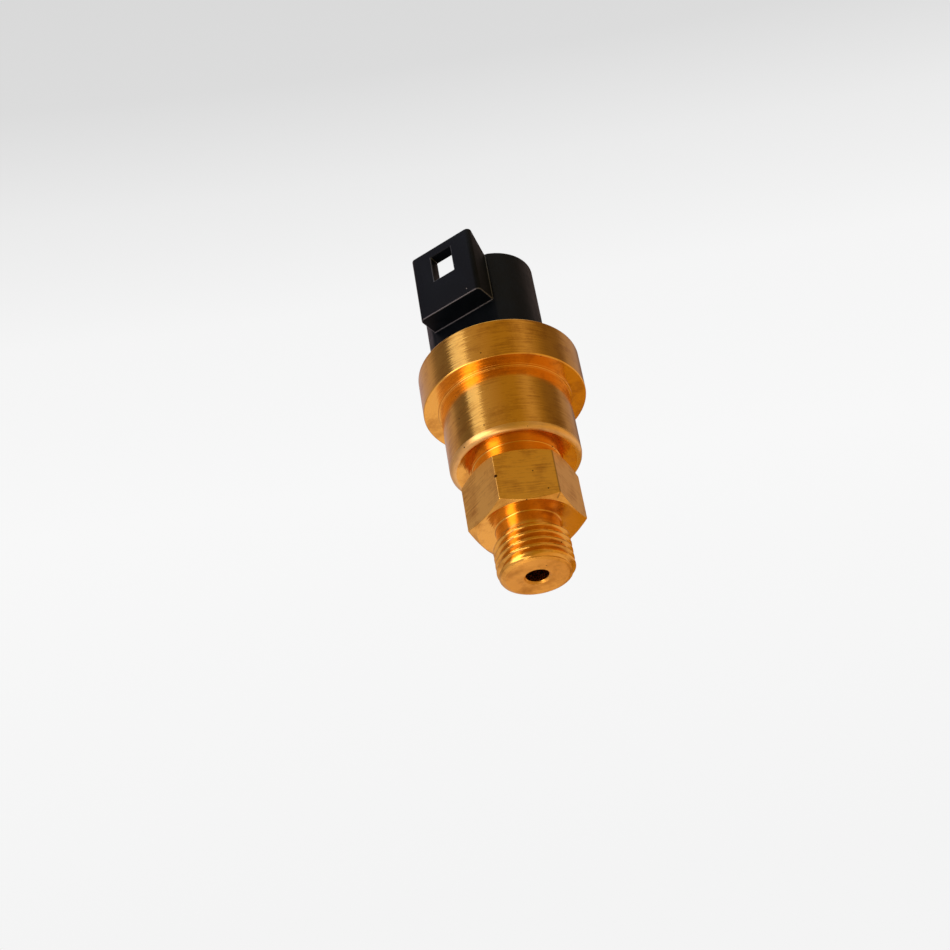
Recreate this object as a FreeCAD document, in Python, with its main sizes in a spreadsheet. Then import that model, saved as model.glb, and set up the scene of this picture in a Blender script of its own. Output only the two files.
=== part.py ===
import FreeCAD, Part
import os
import math
import Sketcher

# Pressure switch with a 9/16-18 UNF port stud, a brass body and a three-way latched socket.
# Millimetres. The port axis is Z with the socket up, the latch faces -Y, and the origin is
# where the axis meets the sealing face under the hexagon.

SIZES = {
    # port stud and its passage
    "thread_radius": 7.144,
    "thread_pitch": 1.411,
    "thread_root_radius": 6.28,
    "thread_root_flat": 0.18,
    "thread_crest_flat": 0.18,
    "thread_overrun": 0.2,
    "thread_lead": 0.48,
    "stud_length": 10.45,
    "stud_face_radius": 6.06,
    "stud_nose_radius": 6.68,
    "stud_nose_rise": 0.45,
    "stud_nose_height": 1.25,
    "undercut_radius": 6.1,
    "undercut_length": 2.8,
    "undercut_bevel": 0.6,
    "seat_bevel": 0.25,
    "port_radius": 2.1,
    "port_mouth_radius": 2.9,
    "port_bore_top": 5.4,
    "insert_radius": 3.0,
    # hexagon and neck
    "hex_flats": 19.05,
    "hex_stock_radius": 11.0,
    "hex_height": 11.0,
    "hex_face_radius": 9.35,
    "hex_lower_bevel": 0.84,
    "hex_upper_bevel": 0.9,
    "hex_turn": 6.4,
    "neck_radius": 8.3,
    # barrel, step ring and collar
    "barrel_radius": 12.5,
    "barrel_foot": 13.8,
    "barrel_round": 0.9,
    "ring_radius": 12.9,
    "ring_height": 0.5,
    "collar_radius": 15.7,
    "collar_foot": 28.3,
    "collar_top": 36.75,
    "collar_round": 0.25,
    "collar_bevel": 0.3,
    "lip_radius": 12.75,
    "lip_thickness": 0.7,
    # chambers inside the brass
    "chamber_radius": 11.0,
    "chamber_floor": 16.4,
    "pressure_pocket_radius": 6.5,
    "pressure_pocket_depth": 0.5,
    "gland_inner_radius": 7.6,
    "gland_outer_radius": 9.4,
    "gland_depth": 1.2,
    "cup_radius": 13.6,
    "cup_floor": 29.3,
    # filter, snubber, diaphragm and its seal
    "filter_height": 1.5,
    "snubber_height": 4.0,
    "snubber_hole_radius": 0.4,
    "seal_ring_radius": 8.5,
    "seal_cord_radius": 0.6,
    "diaphragm_radius": 10.9,
    "diaphragm_thickness": 0.3,
    # piston, pin and range spring
    "sliding_gap": 0.05,
    "stack_radius": 10.95,
    "clamp_height": 2.6,
    "clamp_step": 1.65,
    "piston_travel": 0.5,
    "piston_rest_gap": 0.02,
    "piston_radius": 6.25,
    "piston_rim_height": 1.08,
    "piston_seat_radius": 5.0,
    "piston_seat_top": 19.8,
    "piston_boss_radius": 2.6,
    "piston_boss_height": 1.6,
    "pin_socket_depth": 2.0,
    "pin_radius": 1.5,
    "pin_shoulder": 33.45,
    "pin_neck_radius": 0.7,
    "pin_neck_top": 35.4,
    "cap_radius": 1.3,
    "cap_foot": 34.55,
    "cap_height": 1.05,
    "spring_radius": 3.9,
    "spring_wire_radius": 0.55,
    "spring_pitch": 1.5,
    "sleeve_inner_radius": 8.0,
    "nut_foot": 26.4,
    "nut_height": 2.0,
    "nut_hole_radius": 1.8,
    "nut_spanner_radius": 0.8,
    "nut_spanner_offset": 5.5,
    # switch base and contacts
    "base_radius": 13.5,
    "base_top": 31.4,
    "base_rim_radius": 12.6,
    "base_rim_top": 33.0,
    "arm_half_width": 1.6,
    "arm_half_thickness": 0.4,
    "arm_middle": 34.0,
    "arm_tip": 8.0,
    "arm_slot_radius": 1.0,
    "pivot_offset": 7.0,
    "pivot_radius": 0.6,
    "barrel_wall_radius": 1.25,
    "contact_offset": 6.5,
    "contact_radius": 1.3,
    "contact_head": 0.5,
    "contact_shank_radius": 0.6,
    "contact_gap": 0.05,
    "contact_travel": 1.05,
    "contact_button": 0.75,
    "strip_thickness": 0.6,
    "strip_reach": 8.2,
    "fork_gap": 0.1,
    "fork_thickness": 0.7,
    "fork_half_length": 1.1,
    "fork_foot": 32.5,
    "fork_bridge_foot": 35.7,
    # terminals
    "tab_pitch": 5.0,
    "tab_half_width": 0.75,
    "tab_half_thickness": 0.32,
    "tab_back": 2.4,
    "tab_top": 52.9,
    # connector housing
    "housing_radius": 13.55,
    "housing_height": 3.0,
    "housing_gland_foot": 33.8,
    "housing_gland_height": 1.5,
    "housing_gland_radius": 12.4,
    "housing_seal_radius": 13.0,
    "shell_arc_radius": 8.5,
    "shell_arc_offset": 3.1,
    "shell_front": 9.75,
    "shell_wall": 1.4,
    "shell_top": 56.6,
    "shell_rim_round": 0.3,
    "socket_floor": 42.4,
    "socket_underside": 39.4,
    "potting_height": 1.0,
    # latch box
    "latch_front": 14.5,
    "latch_half_width": 7.0,
    "latch_foot": 45.0,
    "latch_top": 60.65,
    "latch_wall": 2.4,
    "latch_side_wall": 1.4,
    "latch_floor": 2.0,
    "latch_ridge": 13.4,
    "latch_round": 0.9,
    "window_half_width": 2.35,
    "window_foot": 52.55,
    "window_height": 6.1,
}

doc = FreeCAD.newDocument("PressureSwitch")
sheet = doc.addObject("Spreadsheet::Sheet", "Sizes")
nodes = {}


def fill_sheet():
    for row, (name, size) in enumerate(SIZES.items(), start=1):
        sheet.set(f"A{row}", name)
        sheet.set(f"B{row}", str(size))
        sheet.setAlias(f"B{row}", name)
    doc.recompute()


# A size is written as sheet names joined by + and -, such as "base_top + strip_thickness".
def amount(words):
    total, sign = 0.0, 1.0
    for word in words.split():
        if word in "+-":
            sign = 1.0 if word == "+" else -1.0
        elif word != "axis":
            total += sign * float(getattr(sheet, word))
    return total


def formula(words):
    return " ".join(word if word in "+-" else "0" if word == "axis" else f"Sizes.{word}"
                    for word in words.split())


def opposite(words):
    return " ".join({"+": "-", "-": "+"}.get(word, word) for word in words.split())


def keep(item, node):
    item.Label = node
    nodes[node] = item


def new_body(node):
    body = doc.addObject("PartDesign::Body", node + "_body")
    keep(body, node)
    return body


def origin_plane(body, role):
    return next(item for item in body.Origin.OriginFeatures if item.Role == role)


def new_sketch(body, role, name, lift=None):
    sketch = body.newObject("Sketcher::SketchObject", name)
    sketch.AttachmentSupport = (origin_plane(body, role), [""])
    sketch.MapMode = "FlatFace"
    if lift:
        sketch.setExpression("AttachmentOffset.Base.z", formula(lift))
    return sketch


def pin_point(sketch, line, end, across, up):
    for kind, words in (("DistanceX", across), ("DistanceY", up)):
        index = sketch.addConstraint(Sketcher.Constraint(kind, -1, 1, line, end, amount(words)))
        sketch.setExpression(f"Constraints[{index}]", formula(words))


def draw_outline(sketch, corners):
    points = [FreeCAD.Vector(amount(across), amount(up), 0) for across, up in corners]
    first = sketch.GeometryCount
    count = len(points)
    for index in range(count):
        sketch.addGeometry(Part.LineSegment(points[index], points[(index + 1) % count]), False)
    for index in range(count):
        following = first + (index + 1) % count
        sketch.addConstraint(Sketcher.Constraint("Coincident", first + index, 2, following, 1))
    for index, (across, up) in enumerate(corners):
        pin_point(sketch, first + index, 1, across, up)


def draw_circle(sketch, radius, across="axis", up="axis"):
    centre = FreeCAD.Vector(amount(across), amount(up), 0)
    circle = sketch.addGeometry(Part.Circle(centre, FreeCAD.Vector(0, 0, 1), amount(radius)), False)
    pin_point(sketch, circle, 3, across, up)
    index = sketch.addConstraint(Sketcher.Constraint("Radius", circle, amount(radius)))
    sketch.setExpression(f"Constraints[{index}]", formula(radius))


# The shell's outline: two round ends joined by a straight back, and a flat front at the latch.
def draw_shell(sketch, inset=None):
    less = f" - {inset}" if inset else ""
    radius = "shell_arc_radius" + less
    front = f"- shell_front{' + ' + inset if inset else ''}"
    turn = math.asin((amount("shell_front" + less) - amount("tab_back")) / amount(radius))
    arcs = []
    for side, start, stop in ((1, -turn, math.pi / 2), (-1, math.pi / 2, math.pi + turn)):
        middle = FreeCAD.Vector(side * amount("shell_arc_offset"), -amount("tab_back"), 0)
        circle = Part.Circle(middle, FreeCAD.Vector(0, 0, 1), amount(radius))
        arcs.append(sketch.addGeometry(Part.ArcOfCircle(circle, start, stop), False))
    ends = [sketch.getPoint(arcs[0], 2), sketch.getPoint(arcs[1], 1),
            sketch.getPoint(arcs[1], 2), sketch.getPoint(arcs[0], 1)]
    back = sketch.addGeometry(Part.LineSegment(ends[0], ends[1]), False)
    face = sketch.addGeometry(Part.LineSegment(ends[2], ends[3]), False)
    for join in ((arcs[0], 2, back, 1), (back, 2, arcs[1], 1), (arcs[1], 2, face, 1),
                 (face, 2, arcs[0], 1)):
        sketch.addConstraint(Sketcher.Constraint("Coincident", *join))
    for arc, across in zip(arcs, ("shell_arc_offset", "- shell_arc_offset")):
        pin_point(sketch, arc, 3, across, "- tab_back")
        index = sketch.addConstraint(Sketcher.Constraint("Radius", arc, amount(radius)))
        sketch.setExpression(f"Constraints[{index}]", formula(radius))
    for line, end, across in ((back, 1, "shell_arc_offset"), (back, 2, "- shell_arc_offset")):
        index = sketch.addConstraint(
            Sketcher.Constraint("DistanceX", -1, 1, line, end, amount(across)))
        sketch.setExpression(f"Constraints[{index}]", formula(across))
    sketch.addConstraint(Sketcher.Constraint("Horizontal", face))
    index = sketch.addConstraint(Sketcher.Constraint("DistanceY", -1, 1, face, 1, amount(front)))
    sketch.setExpression(f"Constraints[{index}]", formula(front))


def add_feature(body, kind, name, sizes=None, **settings):
    feature = body.newObject("PartDesign::" + kind, name)
    for key, value in settings.items():
        setattr(feature, key, value)
    for key, words in (sizes or {}).items():
        feature.setExpression(key, formula(words))
    body.Tip = feature
    doc.recompute()
    return feature


# A cut that misses the solid shows no error, so its effect on the volume is tested.
def add_cut(body, kind, name, sizes=None, **settings):
    before = body.Shape.Volume
    feature = add_feature(body, kind, name, sizes, **settings)
    if not feature.Shape.Volume < before - 1e-3:
        raise ValueError(f"{name} removes nothing")
    return feature


def turn_profile(body, name, corners):
    sketch = new_sketch(body, "XZ_Plane", name + "_profile")
    draw_outline(sketch, corners)
    return add_feature(body, "Revolution", name, Profile=sketch,
                       ReferenceAxis=(sketch, ["V_Axis"]), Angle=360)


def turned_piece(node, corners):
    body = new_body(node)
    turn_profile(body, node + "_turning", corners)
    return body


def ring_edges(feature, radius, height):
    found = []
    for number, edge in enumerate(feature.Shape.Edges, start=1):
        curve = edge.Curve
        if isinstance(curve, Part.Circle) and abs(curve.Radius - amount(radius)) < 1e-3:
            if abs(curve.Center.z - amount(height)) < 1e-3:
                found.append(f"Edge{number}")
    return found


# Edges parallel to Z whose middles satisfy the test, for rounding upright corners.
def upright_edges(feature, test):
    found = []
    for number, edge in enumerate(feature.Shape.Edges, start=1):
        box = edge.BoundBox
        if box.XLength < 1e-4 and box.YLength < 1e-4 and test(box):
            found.append(f"Edge{number}")
    return found


def block(name, low, size):
    item = doc.addObject("Part::Box", name)
    for key, words in zip(("Length", "Width", "Height"), size):
        item.setExpression(key, formula(words))
    for key, words in zip("xyz", low):
        item.setExpression("Placement.Base." + key, formula(words))
    return item


def rod(name, radius, length, foot, along_y=False):
    item = doc.addObject("Part::Cylinder", name)
    item.setExpression("Radius", formula(radius))
    item.setExpression("Height", formula(length))
    if along_y:
        item.Placement.Rotation = FreeCAD.Rotation(FreeCAD.Vector(1, 0, 0), -90)
    for key, words in zip("xyz", foot):
        item.setExpression("Placement.Base." + key, formula(words))
    return item


def join(name, pieces):
    item = doc.addObject("Part::MultiFuse", name)
    item.Shapes = pieces
    item.Refine = True
    return item


def subtract(name, base, tool):
    item = doc.addObject("Part::Cut", name)
    item.Base = base
    item.Tool = tool
    return item


def make_port_body():
    body = new_body("port_body")
    stud_end = "- stud_length"
    gland_floor = "chamber_floor - gland_depth"
    pocket_floor = "chamber_floor - pressure_pocket_depth"
    mouth_rise = "- stud_length + port_mouth_radius - port_radius"
    turn_profile(body, "body_turning", [
        ("port_mouth_radius", stud_end),
        ("stud_face_radius", stud_end),
        ("stud_nose_radius", stud_end + " + stud_nose_rise"),
        ("thread_radius", stud_end + " + stud_nose_height"),
        ("thread_radius", "- undercut_length - undercut_bevel"),
        ("undercut_radius", "- undercut_length"),
        ("undercut_radius", "- seat_bevel"),
        ("undercut_radius + seat_bevel", "axis"),
        ("hex_face_radius", "axis"),
        ("hex_stock_radius", "hex_lower_bevel"),
        ("hex_stock_radius", "hex_height - hex_upper_bevel"),
        ("hex_face_radius", "hex_height"),
        ("neck_radius", "hex_height"),
        ("neck_radius", "barrel_foot"),
        ("barrel_radius", "barrel_foot"),
        ("barrel_radius", "collar_foot - ring_height"),
        ("ring_radius", "collar_foot - ring_height"),
        ("ring_radius", "collar_foot"),
        ("collar_radius", "collar_foot"),
        ("collar_radius", "collar_top"),
        ("lip_radius", "collar_top"),
        ("lip_radius", "collar_top - lip_thickness"),
        ("cup_radius", "collar_top - lip_thickness"),
        ("cup_radius", "cup_floor"),
        ("chamber_radius", "cup_floor"),
        ("chamber_radius", "chamber_floor"),
        ("gland_outer_radius", "chamber_floor"),
        ("gland_outer_radius", gland_floor),
        ("gland_inner_radius", gland_floor),
        ("gland_inner_radius", "chamber_floor"),
        ("pressure_pocket_radius", "chamber_floor"),
        ("pressure_pocket_radius", pocket_floor),
        ("insert_radius", pocket_floor),
        ("insert_radius", "port_bore_top"),
        ("port_radius", "port_bore_top"),
        ("port_radius", mouth_rise),
    ])
    cut_hexagon(body)
    round_body_edges(body)
    cut_stud_thread(body)


# The six flats: everything outside a hexagon is pocketed from the seat up into the neck.
def cut_hexagon(body):
    sketch = new_sketch(body, "XY_Plane", "hex_flats_sketch")
    corner = amount("hex_flats") / 2 / math.cos(math.pi / 6)
    angles = [math.radians(amount("hex_turn") + 30 + 60 * step) for step in range(6)]
    points = [FreeCAD.Vector(corner * math.cos(angle), corner * math.sin(angle), 0) for angle in angles]
    for step in range(6):
        sketch.addGeometry(Part.LineSegment(points[step], points[(step + 1) % 6]), False)
    for step in range(6):
        sketch.addConstraint(Sketcher.Constraint("Coincident", step, 2, (step + 1) % 6, 1))
    guide = sketch.addGeometry(Part.Circle(FreeCAD.Vector(), FreeCAD.Vector(0, 0, 1), corner), True)
    sketch.addConstraint(Sketcher.Constraint("Coincident", guide, 3, -1, 1))
    for step in range(6):
        sketch.addConstraint(Sketcher.Constraint("PointOnObject", step, 1, guide))
    for step in range(5):
        sketch.addConstraint(Sketcher.Constraint("Equal", step, step + 1))
    width = sketch.addConstraint(Sketcher.Constraint("Distance", 0, 1, 3, amount("hex_flats")))
    sketch.setExpression(f"Constraints[{width}]", formula("hex_flats"))
    first_angle = math.radians(amount("hex_turn") + 150)
    lean = sketch.addConstraint(Sketcher.Constraint("Angle", 0, first_angle))
    sketch.setExpression(f"Constraints[{lean}]", formula("hex_turn") + " + 150")
    draw_circle(sketch, "hex_stock_radius + ring_height")
    add_cut(body, "Pocket", "hex_flats_cut", {"Length": "hex_height + ring_height"},
            Profile=sketch, Reversed=True)


def round_body_edges(body):
    base = body.Tip
    add_feature(body, "Fillet", "barrel_rounding", {"Radius": "barrel_round"},
                Base=(base, ring_edges(base, "barrel_radius", "barrel_foot")))
    base = body.Tip
    add_feature(body, "Fillet", "collar_rounding", {"Radius": "collar_round"},
                Base=(base, ring_edges(base, "collar_radius", "collar_foot")))
    base = body.Tip
    add_feature(body, "Chamfer", "collar_bevelling", {"Size": "collar_bevel"},
                Base=(base, ring_edges(base, "collar_radius", "collar_top")))


# One vee groove swept up the stud from a pitch below its end into the undercut. Its flanks run on
# past the crest, so that the cut leaves no skin.
def cut_stud_thread(body):
    sketch = new_sketch(body, "XZ_Plane", "thread_groove")
    half_root = "Sizes.thread_root_flat / 2"
    half_mouth = "(Sizes.thread_pitch - Sizes.thread_crest_flat) / 2"
    depth = "(Sizes.thread_radius - Sizes.thread_root_radius)"
    half_rim = f"{half_mouth} + ({half_mouth} - {half_root}) / {depth} * Sizes.thread_overrun"
    start = "Sizes.thread_lead - Sizes.stud_length - Sizes.thread_pitch"
    root, rim = "Sizes.thread_root_radius", "Sizes.thread_radius + Sizes.thread_overrun"
    corners = [(root, f"{start} - {half_root}"), (root, f"{start} + {half_root}"),
               (rim, f"{start} + ({half_rim})"), (rim, f"{start} - ({half_rim})")]
    places = [[float(sketch.evalExpression(words)) for words in corner] for corner in corners]
    points = [FreeCAD.Vector(across, up, 0) for across, up in places]
    for index in range(4):
        sketch.addGeometry(Part.LineSegment(points[index], points[(index + 1) % 4]), False)
    for index in range(4):
        sketch.addConstraint(Sketcher.Constraint("Coincident", index, 2, (index + 1) % 4, 1))
    for index, corner in enumerate(corners):
        for kind, words, place in zip(("DistanceX", "DistanceY"), corner, places[index]):
            number = sketch.addConstraint(Sketcher.Constraint(kind, -1, 1, index, 1, place))
            sketch.setExpression(f"Constraints[{number}]", words)
    height = "stud_length - undercut_length + thread_pitch + thread_root_flat"
    add_cut(body, "SubtractiveHelix", "stud_thread", {"Pitch": "thread_pitch", "Height": height},
            Profile=sketch, ReferenceAxis=(origin_plane(body, "Z_Axis"), [""]), Mode=0)


def make_port_inserts():
    filter_top = "port_bore_top + filter_height"
    turned_piece("port_filter", [
        ("axis", "port_bore_top"), ("insert_radius", "port_bore_top"),
        ("insert_radius", filter_top), ("axis", filter_top)])
    snubber_top = filter_top + " + snubber_height"
    turned_piece("port_snubber", [
        ("snubber_hole_radius", filter_top), ("insert_radius", filter_top),
        ("insert_radius", snubber_top), ("snubber_hole_radius", snubber_top)])


def make_seal_ring(node, ring_radius, middle):
    ring = doc.addObject("Part::Torus", node + "_ring")
    ring.setExpression("Radius1", formula(ring_radius))
    ring.setExpression("Radius2", formula("seal_cord_radius"))
    ring.setExpression("Placement.Base.z", formula(middle))
    keep(ring, node)


def make_diaphragm_stack():
    make_seal_ring("diaphragm_seal", "seal_ring_radius", "chamber_floor - gland_depth + seal_cord_radius")
    film_top = "chamber_floor + diaphragm_thickness"
    turned_piece("diaphragm", [
        ("axis", "chamber_floor"), ("diaphragm_radius", "chamber_floor"),
        ("diaphragm_radius", film_top), ("axis", film_top)])
    clamp_top = film_top + " + clamp_height"
    step = film_top + " + clamp_step"
    # The step in the clamp ring's bore stops the piston at the end of its travel.
    turned_piece("clamp_ring", [
        ("piston_radius + sliding_gap", film_top), ("stack_radius", film_top),
        ("stack_radius", clamp_top), ("piston_seat_radius + sliding_gap", clamp_top),
        ("piston_seat_radius + sliding_gap", step), ("piston_radius + sliding_gap", step)])
    turned_piece("spring_sleeve", [
        ("sleeve_inner_radius", clamp_top), ("stack_radius", clamp_top),
        ("stack_radius", "cup_floor"), ("sleeve_inner_radius", "cup_floor")])


def make_piston():
    foot = "chamber_floor + diaphragm_thickness + piston_rest_gap"
    rim = foot + " + piston_rim_height"
    boss_top = "piston_seat_top + piston_boss_height"
    turned_piece("piston", [
        ("axis", foot), ("piston_radius", foot), ("piston_radius", rim),
        ("piston_seat_radius", rim), ("piston_seat_radius", "piston_seat_top"),
        ("piston_boss_radius", "piston_seat_top"), ("piston_boss_radius", boss_top),
        ("pin_radius", boss_top), ("pin_radius", boss_top + " - pin_socket_depth"),
        ("axis", boss_top + " - pin_socket_depth")])
    socket = boss_top + " - pin_socket_depth"
    turned_piece("operating_pin", [
        ("axis", socket), ("pin_radius", socket), ("pin_radius", "pin_shoulder"),
        ("pin_neck_radius", "pin_shoulder"), ("pin_neck_radius", "pin_neck_top"),
        ("axis", "pin_neck_top")])
    turned_piece("pin_cap", [
        ("axis", "pin_neck_top"), ("pin_neck_radius", "pin_neck_top"),
        ("pin_neck_radius", "cap_foot"), ("cap_radius", "cap_foot"),
        ("cap_radius", "cap_foot + cap_height"), ("axis", "cap_foot + cap_height")])


# Round wire wound between the piston's seat and the nut, its two end turns ground flat.
def make_range_spring():
    body = new_body("range_spring")
    sketch = new_sketch(body, "XZ_Plane", "spring_wire")
    draw_circle(sketch, "spring_wire_radius", "spring_radius", "piston_seat_top")
    add_feature(body, "AdditiveHelix", "spring_coil",
                {"Pitch": "spring_pitch", "Height": "nut_foot - piston_seat_top"},
                Profile=sketch, ReferenceAxis=(origin_plane(body, "Z_Axis"), [""]), Mode=0)
    for name, low, high in (
            ("spring_foot_grind", "piston_seat_top - spring_pitch", "piston_seat_top"),
            ("spring_head_grind", "nut_foot", "nut_foot + spring_pitch")):
        grind = new_sketch(body, "XZ_Plane", name + "_profile")
        draw_outline(grind, [("axis", low), ("stack_radius", low), ("stack_radius", high), ("axis", high)])
        add_cut(body, "Groove", name, Profile=grind, ReferenceAxis=(grind, ["V_Axis"]), Angle=360)


def make_adjusting_nut():
    body = turned_piece("adjusting_nut", [
        ("nut_hole_radius", "nut_foot"), ("sleeve_inner_radius", "nut_foot"),
        ("sleeve_inner_radius", "nut_foot + nut_height"), ("nut_hole_radius", "nut_foot + nut_height")])
    sketch = new_sketch(body, "XY_Plane", "spanner_holes", "nut_foot + nut_height")
    for offset in ("nut_spanner_offset", "- nut_spanner_offset"):
        draw_circle(sketch, "nut_spanner_radius", offset)
    add_cut(body, "Pocket", "spanner_holes_cut", {"Length": "nut_height"}, Profile=sketch)


def make_switch_base():
    turned_piece("switch_base", [
        ("pin_radius + sliding_gap", "cup_floor"), ("base_radius", "cup_floor"),
        ("base_radius", "base_rim_top"), ("base_rim_radius", "base_rim_top"),
        ("base_rim_radius", "base_top"), ("pin_radius + sliding_gap", "base_top")])


# The contact lever: a stiff strip with a barrel at its pivot, a hole for the pin and a rivet hole.
def make_contact_arm():
    foot = "arm_middle - arm_half_thickness"
    width = "arm_half_width + arm_half_width"
    thickness = "arm_half_thickness + arm_half_thickness"
    strip = block("arm_strip", ("- arm_tip", "- arm_half_width", foot),
                  ("arm_tip + pivot_offset", width, thickness))
    barrel = rod("arm_barrel", "barrel_wall_radius", width,
                 ("pivot_offset", "- arm_half_width", "arm_middle"), along_y=True)
    bores = [
        rod("arm_pivot_bore", "pivot_radius + sliding_gap", width,
            ("pivot_offset", "- arm_half_width", "arm_middle"), along_y=True),
        rod("arm_pin_hole", "arm_slot_radius", thickness, ("axis", "axis", foot)),
        rod("arm_rivet_hole", "contact_shank_radius", thickness, ("- contact_offset", "axis", foot))]
    keep(subtract("arm_lever", join("arm_blank", [strip, barrel]), join("arm_bores", bores)), "contact_arm")
    head_foot = foot + " - contact_head"
    heads = [
        rod("rivet_lower_head", "contact_radius", "contact_head", ("- contact_offset", "axis", head_foot)),
        rod("rivet_shank", "contact_shank_radius", thickness, ("- contact_offset", "axis", foot)),
        rod("rivet_upper_head", "contact_radius", "contact_head",
            ("- contact_offset", "axis", "arm_middle + arm_half_thickness"))]
    keep(join("arm_rivet", heads), "moving_contact")


# A terminal's upright blade, from a given foot to the tip of the tab.
def upright_tab(name, across, foot):
    return block(name, (across + " - tab_half_width", "- tab_back - tab_half_thickness", foot),
                 ("tab_half_width + tab_half_width", "tab_half_thickness + tab_half_thickness",
                  "tab_top - " + opposite(foot)))


# A flat contact strip along the lever, and the lug that joins it to its tab.
def contact_strip(name, across, foot):
    end = "strip_reach + tab_half_width" + (" " + across if across != "axis" else "")
    return [
        block(name, ("- strip_reach", "- arm_half_width", foot),
              (end, "arm_half_width + arm_half_width", "strip_thickness")),
        block(name + "_lug", (across + " - tab_half_width", "- tab_back", foot),
              ("tab_half_width + tab_half_width", "tab_back", "strip_thickness"))]


# The silver button faces the lever: its shank is riveted through the strip.
def make_fixed_contact(node, head_foot, shank_foot):
    head = rod(node + "_head", "contact_radius", "contact_button", ("- contact_offset", "axis", head_foot))
    shank = rod(node + "_shank", "contact_shank_radius", "strip_thickness",
                ("- contact_offset", "axis", shank_foot))
    keep(join(node + "_rivet", [head, shank]), node)


def make_fixed_terminals():
    closed_button = "arm_middle - arm_half_thickness - contact_head - contact_gap - contact_button"
    open_button = "arm_middle + arm_half_thickness + contact_head + contact_travel"
    cases = (
        ("terminal_nc", "contact_nc", "- tab_pitch", closed_button, closed_button + " - strip_thickness"),
        ("terminal_no", "contact_no", "axis", open_button, open_button + " + contact_button"))
    for node, button, across, button_foot, strip_foot in cases:
        tab = upright_tab(node + "_tab", across, strip_foot)
        strip = contact_strip(node + "_strip", across, strip_foot)
        hole = rod(node + "_rivet_hole", "contact_shank_radius", "strip_thickness",
                   ("- contact_offset", "axis", strip_foot))
        keep(subtract(node + "_pressing", join(node + "_blank", [tab] + strip), hole), node)
        make_fixed_contact(button, button_foot, strip_foot)


# The common terminal ends in a fork over the lever, which carries the pivot pin.
def make_common_terminal():
    inner = "arm_half_width + fork_gap"
    length = "fork_half_length + fork_half_length"
    cheek_height = "fork_bridge_foot - fork_foot + strip_thickness"
    low = "pivot_offset - fork_half_length"
    cheeks = [
        block("fork_near_cheek", (low, "- arm_half_width - fork_gap - fork_thickness", "fork_foot"),
              (length, "fork_thickness", cheek_height)),
        block("fork_far_cheek", (low, inner, "fork_foot"), (length, "fork_thickness", cheek_height))]
    bridge = block(
        "fork_bridge",
        ("tab_pitch - tab_half_width", "- tab_back - tab_half_thickness", "fork_bridge_foot"),
        ("pivot_offset + fork_half_length - tab_pitch + tab_half_width",
         "tab_back + tab_half_thickness + arm_half_width + fork_gap + fork_thickness", "strip_thickness"))
    tab = upright_tab("terminal_com_tab", "tab_pitch", "fork_bridge_foot")
    span = "arm_half_width + arm_half_width + fork_gap + fork_gap + fork_thickness + fork_thickness"
    foot = ("pivot_offset", "- arm_half_width - fork_gap - fork_thickness", "arm_middle")
    bore = rod("fork_bore", "pivot_radius", span, foot, along_y=True)
    keep(subtract("terminal_com_pressing", join("terminal_com_blank", cheeks + [bridge, tab]), bore),
         "terminal_com")
    keep(rod("pivot_pin_rod", "pivot_radius", span, foot, along_y=True), "pivot_pin")


def draw_tab_slots(sketch):
    for across in ("- tab_pitch", "axis", "tab_pitch"):
        left, right = across + " - tab_half_width", across + " + tab_half_width"
        front, back = "- tab_back - tab_half_thickness", "- tab_back + tab_half_thickness"
        draw_outline(sketch, [(left, front), (right, front), (right, back), (left, back)])


def make_potting():
    body = new_body("terminal_potting")
    foot = "socket_underside - potting_height"
    sketch = new_sketch(body, "XY_Plane", "potting_outline", foot)
    draw_shell(sketch, "shell_wall")
    add_feature(body, "Pad", "potting_fill", {"Length": "potting_height"}, Profile=sketch)
    slots = new_sketch(body, "XY_Plane", "potting_slots", foot)
    draw_tab_slots(slots)
    add_cut(body, "Pocket", "potting_slots_cut", {"Length": "potting_height"}, Profile=slots, Reversed=True)


def make_connector_housing():
    body = new_body("connector_housing")
    plate = new_sketch(body, "XY_Plane", "plate_outline", "base_rim_top")
    draw_circle(plate, "housing_radius")
    add_feature(body, "Pad", "plate", {"Length": "housing_height"}, Profile=plate)
    shell = new_sketch(body, "XY_Plane", "shell_outline", "base_rim_top")
    draw_shell(shell)
    add_feature(body, "Pad", "shell", {"Length": "shell_top - base_rim_top"}, Profile=shell)
    latch = new_sketch(body, "XY_Plane", "latch_outline", "latch_foot")
    root = "- shell_front + shell_wall"
    draw_outline(latch, [("- latch_half_width", "- latch_front"), ("latch_half_width", "- latch_front"),
                         ("latch_half_width", root), ("- latch_half_width", root)])
    add_feature(body, "Pad", "latch_block", {"Length": "latch_top - latch_foot"}, Profile=latch)
    cut_latch_box(body)
    cut_socket(body)
    gland = new_sketch(body, "XZ_Plane", "gland_profile")
    gland_top = "housing_gland_foot + housing_gland_height"
    draw_outline(gland, [("housing_gland_radius", "housing_gland_foot"), ("cup_radius", "housing_gland_foot"),
                         ("cup_radius", gland_top), ("housing_gland_radius", gland_top)])
    add_cut(body, "Groove", "gland", Profile=gland, ReferenceAxis=(gland, ["V_Axis"]), Angle=360)


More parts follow.
